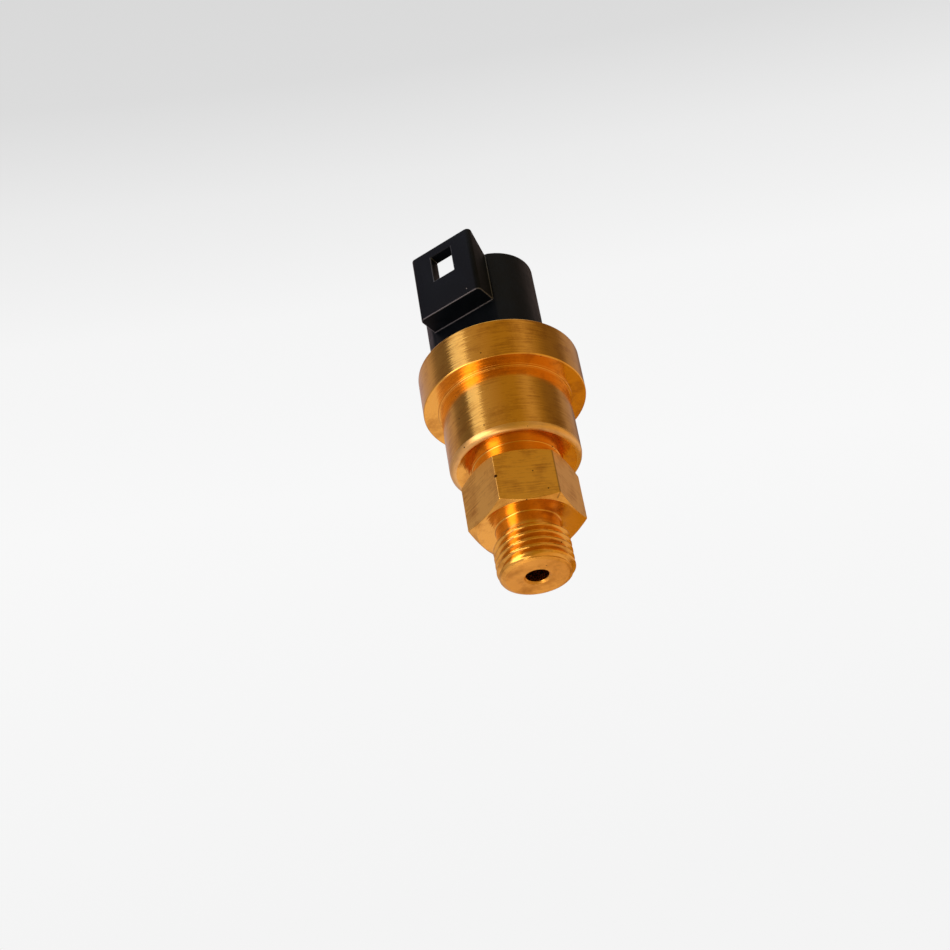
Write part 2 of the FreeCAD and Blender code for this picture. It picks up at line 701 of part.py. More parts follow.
# The latch box slopes back from its ridge to the shell's rim, and is open at the top.
def cut_latch_box(body):
    slope = new_sketch(body, "YZ_Plane", "latch_slope")
    draw_outline(slope, [("- latch_ridge", "latch_top"), ("- shell_front", "shell_top"),
                         ("axis", "shell_top"), ("axis", "latch_top + latch_round"),
                         ("- latch_ridge", "latch_top + latch_round")])
    width = "latch_half_width + latch_half_width + latch_round"
    add_cut(body, "Pocket", "latch_slope_cut", {"Length": width}, Profile=slope, Midplane=True)
    corners = [edge for edge in upright_edges(
        body.Tip, lambda box: abs(box.YMin + amount("latch_front")) < 1e-3)]
    add_feature(body, "Fillet", "latch_corners", {"Radius": "latch_round"}, Base=(body.Tip, corners))
    slot = new_sketch(body, "XY_Plane", "latch_slot", "latch_foot + latch_floor")
    side = "latch_half_width - latch_side_wall"
    draw_outline(slot, [("- latch_half_width + latch_side_wall", "- latch_front + latch_wall"),
                        (side, "- latch_front + latch_wall"), (side, "- shell_front"),
                        ("- latch_half_width + latch_side_wall", "- shell_front")])
    add_cut(body, "Pocket", "latch_slot_cut", {"Length": "latch_top - latch_foot"},
            Profile=slot, Reversed=True)
    window = new_sketch(body, "XZ_Plane", "window_outline", "latch_front")
    window_top = "window_foot + window_height"
    draw_outline(window, [("- window_half_width", "window_foot"), ("window_half_width", "window_foot"),
                          ("window_half_width", window_top), ("- window_half_width", window_top)])
    add_cut(body, "Pocket", "window_cut", {"Length": "latch_wall"}, Profile=window)


def cut_socket(body):
    well = new_sketch(body, "XY_Plane", "socket_outline", "socket_floor")
    draw_shell(well, "shell_wall")
    add_cut(body, "Pocket", "socket_cut", {"Length": "latch_top - socket_floor"},
            Profile=well, Reversed=True)
    room = new_sketch(body, "XY_Plane", "contact_room_outline", "base_rim_top")
    draw_shell(room, "shell_wall")
    add_cut(body, "Pocket", "contact_room_cut", {"Length": "socket_underside - base_rim_top"},
            Profile=room, Reversed=True)
    slots = new_sketch(body, "XY_Plane", "tab_slots", "socket_underside")
    draw_tab_slots(slots)
    add_cut(body, "Pocket", "tab_slots_cut", {"Length": "socket_floor - socket_underside"},
            Profile=slots, Reversed=True)


def check_and_export():
    doc.recompute()
    for item in doc.Objects:
        if "Invalid" in item.State or "Error" in item.State:
            raise ValueError(f"{item.Label}: {item.State}")
    os.makedirs("parts", exist_ok=True)
    for node, item in nodes.items():
        if item.Shape.isNull() or not item.Shape.isValid() or not item.Shape.Solids:
            raise ValueError(f"{node} has no valid solid")
        item.Shape.exportStep(f"parts/{node}.step")
        print(f"{node}: {len(item.Shape.Solids)} solid, {item.Shape.Volume:.1f} mm3")


fill_sheet()
make_port_body()
make_port_inserts()
make_diaphragm_stack()
make_piston()
make_range_spring()
make_adjusting_nut()
make_switch_base()
make_contact_arm()
make_fixed_terminals()
make_common_terminal()
make_potting()
make_connector_housing()
make_seal_ring("housing_seal", "housing_seal_radius",
               "housing_gland_foot + seal_cord_radius")
check_and_export()
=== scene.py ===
import bpy
import bmesh
import math
from mathutils import Matrix, Vector


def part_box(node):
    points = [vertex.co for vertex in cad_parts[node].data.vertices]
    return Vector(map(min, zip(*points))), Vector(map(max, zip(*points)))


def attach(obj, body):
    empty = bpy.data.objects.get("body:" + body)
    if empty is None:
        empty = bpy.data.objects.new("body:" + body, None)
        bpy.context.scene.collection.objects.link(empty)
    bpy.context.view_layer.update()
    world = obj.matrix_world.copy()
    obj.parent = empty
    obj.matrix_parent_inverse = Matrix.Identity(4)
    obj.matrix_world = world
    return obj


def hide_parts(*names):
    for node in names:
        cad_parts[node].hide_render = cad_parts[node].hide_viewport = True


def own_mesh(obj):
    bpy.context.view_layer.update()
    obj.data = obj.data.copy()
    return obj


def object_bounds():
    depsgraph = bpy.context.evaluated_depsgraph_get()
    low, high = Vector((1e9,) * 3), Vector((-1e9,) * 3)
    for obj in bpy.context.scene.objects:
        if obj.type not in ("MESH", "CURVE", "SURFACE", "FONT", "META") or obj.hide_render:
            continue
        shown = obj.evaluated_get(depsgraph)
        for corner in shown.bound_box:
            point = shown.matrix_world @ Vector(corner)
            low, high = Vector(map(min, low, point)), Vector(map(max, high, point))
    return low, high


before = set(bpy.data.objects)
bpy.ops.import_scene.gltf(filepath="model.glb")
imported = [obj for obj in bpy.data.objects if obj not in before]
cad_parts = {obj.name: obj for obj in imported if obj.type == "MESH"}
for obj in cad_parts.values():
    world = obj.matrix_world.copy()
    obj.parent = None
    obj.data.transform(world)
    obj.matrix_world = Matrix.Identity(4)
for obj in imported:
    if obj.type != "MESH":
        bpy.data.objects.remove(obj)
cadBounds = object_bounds()
mm = 0.001
print("frame loaded:", len(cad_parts), "nodes")

# Brass pressure switch, in metres: the port axis is Z, the socket is up and the latch faces -Y.
bodyLow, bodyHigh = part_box("port_body")
housingLow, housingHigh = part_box("connector_housing")
springLow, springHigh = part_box("range_spring")


def linearColour(code):
    levels = [int(code[i:i + 2], 16) / 255 for i in (1, 3, 5)]
    return [v / 12.92 if v < 0.04045 else ((v + 0.055) / 1.055) ** 2.4 for v in levels] + [1.0]


# A node with its settings, and each input given as a value, a socket or a node's first output.
def addNode(tree, kind, settings=None, inputs=None):
    node = tree.nodes.new(kind)
    for key, value in (settings or {}).items():
        setattr(node, key, value)
    for key, value in (inputs or {}).items():
        if isinstance(value, bpy.types.Node):
            value = value.outputs[0]
        if isinstance(value, bpy.types.NodeSocket):
            tree.links.new(value, node.inputs[key])
        else:
            node.inputs[key].default_value = value
    return node


def fillRamp(node, stops):
    ramp = node.color_ramp
    while len(ramp.elements) < len(stops):
        ramp.elements.new(1.0)
    for element, (place, colour) in zip(ramp.elements, stops):
        element.position = place
        element.color = colour


# Sizes in millimetres; a rounding is the radius worked on that edge.
bodySizes = dict(
    threadRadius=7.144, pitch=1.411, rootRadius=6.28, rootFlat=0.18, crestFlat=0.18,
    threadSoftness=0.05, grooveLead=0.48,
    noseFace=5.75, noseEdge=6.64, noseRise=0.45, noseHeight=1.25, undercut=6.1, undercutLength=2.8,
    undercutBevel=0.6, portRadius=2.1, portMouth=2.5, boreTop=5.4, insertRadius=3.0,
    hexFlats=19.05, hexStock=11.0, hexHeight=11.0, hexFace=9.35, hexLowerBevel=0.84, hexUpperBevel=0.9,
    hexTurn=6.4, hexRounding=0.32, neckRadius=8.3, barrelRadius=12.5, barrelFoot=13.8, barrelRounding=1.15,
    ringRadius=12.9, ringHeight=0.5, collarFoot=28.3, lipRadius=12.75, lipThickness=0.7, cupRadius=13.6,
    cupFloor=29.3, chamberRadius=11.0, chamberFloor=16.4, pocketRadius=6.5, pocketDepth=0.5,
    glandInner=7.6, glandOuter=9.4, glandDepth=1.2, columns=216, gather=0.88, rowHeight=0.055)


# Adds arithmetic to a tree. Each step is (name, operation, terms): a term is an earlier name or a number,
# and known holds every result by its name.
def addSteps(tree, steps, known):
    for name, operation, *terms in steps:
        inputs = {i: known.get(term, term) for i, term in enumerate(terms)}
        known[name] = addNode(tree, "ShaderNodeMath", {"operation": operation}, inputs)


# Settings that several nodes share.
colourMix = {"data_type": "RGBA"}
smoothRange = {"interpolation_type": "SMOOTHSTEP"}
alongOnly = {"noise_dimensions": "1D"}


def newFinish(name):
    material = bpy.data.materials.new(name)
    material.use_nodes = True
    tree = material.node_tree
    shader = tree.nodes["Principled BSDF"]
    place = addNode(tree, "ShaderNodeTexCoord").outputs["Object"]
    return material, tree, shader, place


def linkSurface(tree, shader, colour, rough, normal):
    for key, value in (("Base Color", colour), ("Roughness", rough), ("Normal", normal)):
        tree.links.new(value, shader.inputs[key])


# Free-cutting brass, turned and milled, left bare: warm gold whose fine tool rings, drawn coarser than
# the real 0.1 mm feed so that they show, smear highlights along the axis and jog their edges, with brown
# streaks round it, a haze of fingermarks and a few dark specks. The flats and the end face are duller,
# the barrel's rounded foot is rubbed pale and one edge of the hexagon is nicked. Along the next edge a
# thin dark line is painted in the speck colour: a painted reflection of a dark gap.
turnedBrass = dict(
    clean="#ecb652", flat="#fbc964", tarnish="#a97023", rubbed="#e8d29c", speckAndEdgeShade="#4a2c0e",
    roughness=0.15, roughnessSpread=0.14, flatDulling=0.2, endDulling=0.34, footDulling=0.16,
    flatPaleness=0.9, footPaleness=0.34, mostTarnish=0.75, anisotropy=0.5,
    nick=(1.21, -10.75, 5.7), nickSize=0.32, darkEdgeReflectionAngle=-23.6, darkEdgeReflectionReach=0.016, darkEdgeReflectionStrength=0.42,
    fineRing=0.32 * mm, coarseRing=0.95 * mm, ringDepth=0.0016 * mm, jogRing=0.26 * mm, jogStrength=0.2,
    patchSize=4.5 * mm, streakLength=5.0 * mm, streakWidth=0.3 * mm,
    speckSize=1.7 * mm, speckReach=0.08, speckShare=0.86)


def makeTurnedBrass():
    f = turnedBrass
    material, tree, shader, place = newFinish("turnedBareBrass")
    parts = addNode(tree, "ShaderNodeSeparateXYZ", None, {0: place})
    surface = addNode(tree, "ShaderNodeNewGeometry").outputs["Normal"]
    facing = addNode(tree, "ShaderNodeSeparateXYZ", None, {0: surface})
    known = dict(x=parts.outputs[0], y=parts.outputs[1], z=parts.outputs[2], tilt=facing.outputs[2])
    footStart = bodySizes["barrelRadius"] - bodySizes["barrelRounding"]
    addSteps(tree, (
        ("xSquare", "MULTIPLY", "x", "x"), ("radiusSquare", "MULTIPLY_ADD", "y", "y", "xSquare"),
        ("radius", "SQRT", "radiusSquare"), ("steep", "ABSOLUTE", "tilt"),
        ("isFace", "GREATER_THAN", "steep", 0.7), ("faceGain", "SUBTRACT", "radius", "z"),
        ("along", "MULTIPLY_ADD", "isFace", "faceGain", "z"),
        ("aboveSeat", "GREATER_THAN", "z", 0.2 * mm),
        ("belowNeck", "LESS_THAN", "z", (bodySizes["hexHeight"] - 0.2) * mm),
        ("inHex", "MULTIPLY", "aboveSeat", "belowNeck"), ("upright", "LESS_THAN", "steep", 0.2),
        ("onFlat", "MULTIPLY", "inHex", "upright"), ("ringed", "SUBTRACT", 1.0, "onFlat"),
        ("onEnd", "LESS_THAN", "z", bodyLow.z + 0.3 * mm),
        ("aboveFoot", "GREATER_THAN", "z", (bodySizes["barrelFoot"] - 0.1) * mm),
        ("belowWall", "LESS_THAN", "z", (bodySizes["barrelFoot"] + bodySizes["barrelRounding"]) * mm),
        ("offPlane", "GREATER_THAN", "radius", footStart * mm),
        ("footBand", "MULTIPLY", "aboveFoot", "belowWall"), ("onFoot", "MULTIPLY", "footBand", "offPlane"),
        ("backY", "MULTIPLY", "y", -1.0), ("roundX", "DIVIDE", "backY", "radius"),
        ("roundY", "DIVIDE", "x", "radius")), known)
    fine = addNode(tree, "ShaderNodeTexNoise", alongOnly,
                   {"W": known["along"], "Scale": 1 / f["fineRing"], "Detail": 1.0})
    coarse = addNode(tree, "ShaderNodeTexNoise", alongOnly,
                     {"W": known["along"], "Scale": 1 / f["coarseRing"], "Detail": 1.0})
    patches = addNode(tree, "ShaderNodeTexNoise", None,
                      {"Vector": place, "Scale": 1 / f["patchSize"], "Detail": 5.0, "Roughness": 0.66})
    across = 1 / f["streakLength"]
    flatten = addNode(tree, "ShaderNodeMapping", None,
                      {"Vector": place, "Scale": (across, across, 1 / f["streakWidth"])})
    streaks = addNode(tree, "ShaderNodeTexNoise", None,
                      {"Vector": flatten, "Scale": 1.0, "Detail": 3.0, "Roughness": 0.6})
    jogs = addNode(tree, "ShaderNodeTexNoise", alongOnly,
                   {"W": known["along"], "Scale": 1 / f["jogRing"], "Detail": 2.0, "Roughness": 0.6})
    specks = addNode(tree, "ShaderNodeTexVoronoi", None, {"Vector": place, "Scale": 1 / f["speckSize"]})
    speckPick = addNode(tree, "ShaderNodeSeparateXYZ", None, {0: specks.outputs["Color"]})
    nickReach = addNode(tree, "ShaderNodeVectorMath", {"operation": "DISTANCE"},
                        {0: place, 1: [part * mm for part in f["nick"]]})
    known.update(fine=fine, coarse=coarse, patches=patches, streaks=streaks, jogs=jogs,
                 nickReach=nickReach.outputs["Value"],
                 speckReach=specks.outputs["Distance"], speckDraw=speckPick.outputs[0])
    addSteps(tree, (
        ("speckNear", "LESS_THAN", "speckReach", f["speckReach"]),
        ("speckChosen", "GREATER_THAN", "speckDraw", f["speckShare"]),
        ("speckThere", "MULTIPLY", "speckNear", "speckChosen"),
        ("nicked", "LESS_THAN", "nickReach", f["nickSize"] * mm),
        # A thin dark line painted along one hexagon edge: a painted reflection of a dark gap, drawn in the
        # speck colour.
        ("angle", "ARCTAN2", "y", "x"), ("fromDarkEdgeReflection", "SUBTRACT", "angle", math.radians(f["darkEdgeReflectionAngle"])),
        ("offDarkEdgeReflection", "ABSOLUTE", "fromDarkEdgeReflection"), ("nearDarkEdgeReflection", "LESS_THAN", "offDarkEdgeReflection", f["darkEdgeReflectionReach"]),
        ("paintedDarkEdgeReflection", "MULTIPLY", "nearDarkEdgeReflection", "inHex"),
        ("paintedDarkEdgeShade", "MULTIPLY", "paintedDarkEdgeReflection", f["darkEdgeReflectionStrength"]),
        ("marks", "MAXIMUM", "speckThere", "nicked"), ("marksAndPaintedEdgeShade", "MAXIMUM", "marks", "paintedDarkEdgeShade"),
        ("streakStain", "MULTIPLY_ADD", "streaks", 1.6, -0.8),
        ("patchStain", "MULTIPLY_ADD", "patches", 2.4, -1.12),
        ("flatShare", "MULTIPLY", "onFlat", f["flatPaleness"]),
        ("stain", "ADD", "streakStain", "patchStain"), ("stainLow", "MAXIMUM", "stain", 0.0),
        ("tarnished", "MINIMUM", "stainLow", f["mostTarnish"]),
        ("rubbedPale", "MULTIPLY", "onFoot", f["footPaleness"]),
        ("wear", "MULTIPLY_ADD", "tarnished", f["roughnessSpread"], f["roughness"]),
        ("flatWear", "MULTIPLY_ADD", "onFlat", f["flatDulling"], "wear"),
        ("endWear", "MULTIPLY_ADD", "onEnd", f["endDulling"], "flatWear"),
        ("allWear", "MULTIPLY_ADD", "onFoot", f["footDulling"], "endWear"),
        ("fineHeight", "MULTIPLY", "fine", 0.5), ("rings", "ADD", "fineHeight", "coarse"),
        ("height", "MULTIPLY", "rings", "ringed"), ("jogMiddle", "SUBTRACT", "jogs", 0.5),
        ("jogAll", "MULTIPLY", "jogMiddle", f["jogStrength"]), ("jog", "MULTIPLY", "jogAll", "ringed"),
        ("jogX", "MULTIPLY", "roundX", "jog"), ("jogY", "MULTIPLY", "roundY", "jog")), known)
    fresh = addNode(tree, "ShaderNodeMix", colourMix,
                    {0: known["flatShare"], 6: linearColour(f["clean"]), 7: linearColour(f["flat"])})
    metal = addNode(tree, "ShaderNodeMix", colourMix,
                    {0: known["tarnished"], 6: fresh.outputs[2], 7: linearColour(f["tarnish"])})
    rubbed = addNode(tree, "ShaderNodeMix", colourMix,
                     {0: known["rubbedPale"], 6: metal.outputs[2], 7: linearColour(f["rubbed"])})
    # Specks and the nick are real marks; the dark edge line mixed in here is a painted reflection.
    marked = addNode(tree, "ShaderNodeMix", colourMix,
                     {0: known["marksAndPaintedEdgeShade"], 6: rubbed.outputs[2], 7: linearColour(f["speckAndEdgeShade"])})
    bump = addNode(tree, "ShaderNodeBump", None,
                   {"Strength": 1.0, "Distance": f["ringDepth"], "Height": known["height"]})
    aside = addNode(tree, "ShaderNodeCombineXYZ", None, {0: known["jogX"], 1: known["jogY"]})
    jogged = addNode(tree, "ShaderNodeVectorMath", {"operation": "ADD"}, {0: bump, 1: aside})
    normal = addNode(tree, "ShaderNodeVectorMath", {"operation": "NORMALIZE"}, {0: jogged})
    linkSurface(tree, shader, marked.outputs[2], known["allWear"].outputs[0], normal.outputs[0])
    shader.inputs["Metallic"].default_value = 1.0
    shader.inputs["Anisotropic"].default_value = f["anisotropy"]
    shader.inputs["Anisotropic Rotation"].default_value = 0.25
    return material


# Glass-filled nylon, moulded and black: satin and faintly blue, a little greyer and rougher where glass
# fibres reach the skin, with flow marks along the draw, fine tool grain drawn at 0.15 mm so that it
# shows, pale scuffs, and a few pale flecks of dust.
mouldedNylon = dict(
    deep="#05090d", worn="#0c131a", fleck="#8d9095", roughness=0.34, roughnessSpread=0.18,
    grainSize=0.15 * mm, grainDepth=0.004 * mm, patchSize=2.6 * mm, flowWidth=0.5 * mm, flowLength=9.0 * mm,
    fleckSize=2.2 * mm, fleckReach=0.045, fleckShare=0.94, scuffShare=0.7, scuffPaleness=0.12, gloss=0.07,
    ior=1.53)

# Its outer edges: shinier where handling has rubbed the skin, and painted a lighter grey as a painted
# highlight.
edgeHighlightNylon = dict(mouldedNylon, deep="#23282e", worn="#444b52", roughness=0.24, gloss=0.5)


def makeMouldedNylon(name, f):
    material, tree, shader, place = newFinish(name)
    grain = addNode(tree, "ShaderNodeTexNoise", None,
                    {"Vector": place, "Scale": 1 / f["grainSize"], "Detail": 2.0})
    patches = addNode(tree, "ShaderNodeTexNoise", None,
                      {"Vector": place, "Scale": 1 / f["patchSize"], "Detail": 4.0, "Roughness": 0.6})
    across = 1 / f["flowWidth"]
    drawn = addNode(tree, "ShaderNodeMapping", None,
                    {"Vector": place, "Scale": (across, across, 1 / f["flowLength"])})
    flow = addNode(tree, "ShaderNodeTexNoise", None, {"Vector": drawn, "Scale": 1.0, "Detail": 2.0})
    flecks = addNode(tree, "ShaderNodeTexVoronoi", None, {"Vector": place, "Scale": 1 / f["fleckSize"]})
    fleckPick = addNode(tree, "ShaderNodeSeparateXYZ", None, {0: flecks.outputs["Color"]})
    known = dict(patches=patches, flow=flow, reach=flecks.outputs["Distance"], draw=fleckPick.outputs[0])
    addSteps(tree, (
        ("near", "LESS_THAN", "reach", f["fleckReach"]), ("chosen", "GREATER_THAN", "draw", f["fleckShare"]),
        ("fleckOn", "MULTIPLY", "near", "chosen"),
        ("mottle", "MULTIPLY_ADD", "flow", 0.5, "patches"), ("greyed", "SUBTRACT", "mottle", 0.35),
        ("scuffDraw", "MULTIPLY", "patches", "flow"),
        ("scuffed", "GREATER_THAN", "scuffDraw", f["scuffShare"]),
        ("scuffSoft", "MULTIPLY", "scuffed", f["scuffPaleness"]),
        ("pale", "MAXIMUM", "fleckOn", "scuffSoft")), known)
    plastic = addNode(tree, "ShaderNodeMix", colourMix,
                      {0: known["greyed"], 6: linearColour(f["deep"]), 7: linearColour(f["worn"])})
    marked = addNode(tree, "ShaderNodeMix", colourMix,
                     {0: known["pale"], 6: plastic.outputs[2], 7: linearColour(f["fleck"])})
    rough = addNode(tree, "ShaderNodeMapRange", None, {
        0: known["mottle"], 1: 0.5, 2: 1.0, 3: f["roughness"], 4: f["roughness"] + f["roughnessSpread"]})
    bump = addNode(tree, "ShaderNodeBump", None,
                   {"Strength": 0.6, "Distance": f["grainDepth"], "Height": grain})
    linkSurface(tree, shader, marked.outputs[2], rough.outputs[0], bump.outputs[0])
    shader.inputs["IOR"].default_value = f["ior"]
    shader.inputs["Specular IOR Level"].default_value = f["gloss"]
    return material


# The inner pieces' finishes: what each is, then its two tones, metallic, roughness and its spread, the
# grain's real size along and across in millimetres and its depth. Every second tone is its wear or tarnish.
innerFinishes = {
    # grains and dark pores
    "sinteredBronze": ("#a8713f", "#6d4522", 1.0, 0.55, 0.2, (0.35, 0.35, 0.35), 0.06),
    # dull black, dusty bloom
    "mouldedNitrile": ("#0b0b0c", "#17171a", 0.0, 0.55, 0.15, (0.6, 0.6, 0.6), 0.01),
    # clear amber, glossy
    "castPolyimideFilm": ("#b5650f", "#cf8420", 0.0, 0.12, 0.08, (3.0, 3.0, 3.0), 0.004),
    # cool grey tool rings
    "zincPlatedSteel": ("#aeb2b6", "#8f9498", 1.0, 0.28, 0.14, (6.0, 6.0, 0.4), 0.004),
    # bright fine rings
    "turnedStainless": ("#b9b8b4", "#a3a19c", 1.0, 0.22, 0.1, (6.0, 6.0, 0.3), 0.004),
    # warm white, wet gloss
    "glazedCeramic": ("#ece7db", "#ddd5c4", 0.0, 0.12, 0.1, (1.5, 1.5, 1.5), 0.002),
    # blue black, oiled
    "temperedSpringWire": ("#4d4f54", "#33343a", 1.0, 0.35, 0.15, (0.4, 0.4, 0.4), 0.003),
    # brown, wood flour specks
    "phenolicMoulding": ("#3a2013", "#4b2c1b", 0.0, 0.4, 0.15, (0.8, 0.8, 0.8), 0.008),
    # pink gold, rolled lines
    "rolledPhosphorBronze": ("#c98b52", "#a76a38", 1.0, 0.25, 0.12, (4.0, 0.25, 4.0), 0.003),
    # white, a little tarnished
    "polishedSilver": ("#e3e1da", "#cbc6b8", 1.0, 0.14, 0.12, (0.8, 0.8, 0.8), 0.002),
    # soft grey, drawn lines
    "tinPlatedStrip": ("#c6c5c0", "#aeaca6", 1.0, 0.3, 0.15, (0.3, 0.3, 5.0), 0.003),
    # wet black, slightly wavy
    "curedEpoxy": ("#08090a", "#121315", 0.0, 0.1, 0.12, (2.5, 2.5, 2.5), 0.02),
    # gold tool rings
    "turnedInnerBrass": ("#dfa14b", "#c3812f", 1.0, 0.22, 0.12, (6.0, 6.0, 0.35), 0.004)}

nodeFinishes = dict(
    port_filter="sinteredBronze", port_snubber="turnedInnerBrass", diaphragm_seal="mouldedNitrile",
    diaphragm="castPolyimideFilm", clamp_ring="zincPlatedSteel", spring_sleeve="turnedInnerBrass",
    piston="turnedStainless", operating_pin="glazedCeramic", pin_cap="turnedStainless",
    adjusting_nut="turnedInnerBrass", switch_base="phenolicMoulding", contact_arm="rolledPhosphorBronze",
    moving_contact="polishedSilver", contact_nc="polishedSilver", contact_no="polishedSilver",
    pivot_pin="turnedStainless", terminal_potting="curedEpoxy", housing_seal="mouldedNitrile")


def makeInnerFinish(name):
    tone, worn, metallic, roughness, spread, grainSize, depth = innerFinishes[name]
    material, tree, shader, place = newFinish(name)
    sized = addNode(tree, "ShaderNodeMapping", None,
                    {"Vector": place, "Scale": [1 / (size * mm) for size in grainSize]})
    grain = addNode(tree, "ShaderNodeTexNoise", None,
                    {"Vector": sized, "Scale": 1.0, "Detail": 4.0, "Roughness": 0.6})
    patches = addNode(tree, "ShaderNodeTexNoise", None,
                      {"Vector": place, "Scale": 1 / (2.5 * mm), "Detail": 3.0})
    known = dict(grain=grain, patches=patches)
    addSteps(tree, (
        ("both", "ADD", "grain", "patches"), ("wear", "MULTIPLY_ADD", "both", 1.6, -1.1)), known)
    colour = addNode(tree, "ShaderNodeMix", colourMix,
                     {0: known["wear"], 6: linearColour(tone), 7: linearColour(worn)})
    rough = addNode(tree, "ShaderNodeMapRange", None,
                    {0: known["both"], 1: 0.7, 2: 1.3, 3: roughness, 4: roughness + spread})
    bump = addNode(tree, "ShaderNodeBump", None, {"Strength": 0.7, "Distance": depth * mm, "Height": grain})
    linkSurface(tree, shader, colour.outputs[2], rough.outputs[0], bump.outputs[0])
    shader.inputs["Metallic"].default_value = metallic
    return material


brassFinish = makeTurnedBrass()
nylonFinish = makeMouldedNylon("mouldedBlackNylon", mouldedNylon)
# The edge finish's lighter grey is a painted highlight; its higher gloss is real shine.
edgeHighlightNylonFinish = makeMouldedNylon("blackNylonPaintedEdgeHighlight", edgeHighlightNylon)
innerMade = {name: makeInnerFinish(name) for name in innerFinishes}
for node, name in nodeFinishes.items():
    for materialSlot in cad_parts[node].material_slots:
        materialSlot.material = innerMade[name]
print("finishes made:", 3 + len(innerMade))

# Corners (radius, height, rounding) in millimetres become a loop of points: each rounding is an arc
# with a guard point on both sides, which keeps the flat beside it flat in the shading.
def roundedLoop(corners, arcSteps=4, guard=0.05):
    loop = []
    count = len(corners)
    for i, (r, z, rounding) in enumerate(corners):
        here = Vector((r, z))
        before = Vector(corners[i - 1][:2]) - here
        after = Vector(corners[(i + 1) % count][:2]) - here
        half = before.angle(after) / 2
        if rounding <= 0:
            loop.append(here)
            continue
        reach = rounding / math.tan(half)
        start, stop = here + before.normalized() * reach, here + after.normalized() * reach
        inward = (before.normalized() + after.normalized()).normalized()
        centre = here + inward * (rounding / math.sin(half))
        loop.append(start + before.normalized() * guard)
        spread = (start - centre).angle_signed(stop - centre)
        for step in range(arcSteps + 1):
            turned = (start - centre).copy()
            turned.rotate(Matrix.Rotation(-spread * step / arcSteps, 2))
            loop.append(centre + turned)
        loop.append(stop + after.normalized() * guard)
    return loop


def dividedLoop(loop, lowest, highest, longest):
    points = []
    for here, following in zip(loop, loop[1:] + loop[:1]):
        points.append(here)
        inBand = lowest <= min(here.y, following.y) and max(here.y, following.y) <= highest
        parts = math.ceil((following - here).length / longest) if inBand else 1
        points += [here.lerp(following, step / parts) for step in range(1, parts)]
    return points


def addObject(name, data):
    item = bpy.data.objects.new(name, data)
    bpy.context.scene.collection.objects.link(item)
    return item


def loopObject(name, points):
    mesh = bpy.data.meshes.new(name)
    count = len(points)
    edges = [(i, (i + 1) % count) for i in range(count)]
    mesh.from_pydata([(p.x * mm, 0, p.y * mm) for p in points], edges, [])
    return addObject(name, mesh)


latheInputs = (
    ("Columns", "NodeSocketInt", lambda s: s["columns"]),
    ("Gather", "NodeSocketFloat", lambda s: s["gather"]),
    ("Corner angle", "NodeSocketFloat", lambda s: math.radians(s["hexTurn"] + 30)),
    ("Flat distance", "NodeSocketFloat", lambda s: s["hexFlats"] / 2 * mm),
    ("Edge rounding", "NodeSocketFloat", lambda s: s["hexRounding"] * mm),
    ("Stock radius", "NodeSocketFloat", lambda s: s["hexStock"] * mm),
    ("Face radius", "NodeSocketFloat", lambda s: s["hexFace"] * mm),
    ("Hexagon height", "NodeSocketFloat", lambda s: s["hexHeight"] * mm),
    ("Lower bevel", "NodeSocketFloat", lambda s: s["hexLowerBevel"] * mm),
    ("Upper bevel", "NodeSocketFloat", lambda s: s["hexUpperBevel"] * mm),
    ("Pitch", "NodeSocketFloat", lambda s: s["pitch"] * mm),
    ("Groove start", "NodeSocketFloat", lambda s: bodyLow.z + s["grooveLead"] * mm),
    ("Root radius", "NodeSocketFloat", lambda s: s["rootRadius"] * mm),
    ("Root half", "NodeSocketFloat", lambda s: s["rootFlat"] / 2 * mm),
    ("Flank slope", "NodeSocketFloat", lambda s: (s["threadRadius"] - s["rootRadius"]) * 2
        / (s["pitch"] - s["crestFlat"] - s["rootFlat"])),
    ("Softness", "NodeSocketFloat", lambda s: s["threadSoftness"] * mm),
    ("Finish", "NodeSocketMaterial", lambda s: brassFinish))


# Each column's turn round the axis.
latheSteps = (
    ("share", "DIVIDE", "index", "Columns"), ("turn", "MULTIPLY", "share", math.tau))

# The columns gather at the hexagon's edges, and the radius there follows six flats with rounded edges.
hexagonSteps = (
    ("sixTurns", "MULTIPLY", "turn", 6.0), ("wave", "SINE", "sixTurns"),
    ("pull", "DIVIDE", "Gather", 6.0), ("shift", "MULTIPLY", "wave", "pull"),
    ("fromCorner", "SUBTRACT", "turn", "shift"), ("angle", "ADD", "fromCorner", "Corner angle"),
    ("cosine", "COSINE", "angle"), ("sine", "SINE", "angle"),
    ("aboutCorner", "WRAP", "fromCorner", math.pi / 6, -math.pi / 6),
    ("offCorner", "ABSOLUTE", "aboutCorner"),
    ("offFlat", "SUBTRACT", math.pi / 6, "offCorner"), ("flatCosine", "COSINE", "offFlat"),
    ("flat", "DIVIDE", "Flat distance", "flatCosine"),
    ("roundingFlat", "SUBTRACT", "Flat distance", "Edge rounding"),
    ("centre", "DIVIDE", "roundingFlat", math.cos(math.pi / 6)),
    ("cornerSine", "SINE", "offCorner"), ("aside", "MULTIPLY", "centre", "cornerSine"),
    ("roundingSquare", "MULTIPLY", "Edge rounding", "Edge rounding"),
    ("asideSquare", "MULTIPLY", "aside", "aside"),
    ("inside", "SUBTRACT", "roundingSquare", "asideSquare"), ("insideSafe", "MAXIMUM", "inside", 0.0),
    ("bulge", "SQRT", "insideSafe"), ("cornerCosine", "COSINE", "offCorner"),
    ("edge", "MULTIPLY_ADD", "centre", "cornerCosine", "bulge"),
    ("edgeAside", "MULTIPLY", "edge", "cornerSine"),
    ("halfRounding", "MULTIPLY", "Edge rounding", 0.5),
    ("onEdge", "LESS_THAN", "edgeAside", "halfRounding"),
    ("edgeGain", "SUBTRACT", "edge", "flat"), ("hexRadius", "MULTIPLY_ADD", "onEdge", "edgeGain", "flat"))

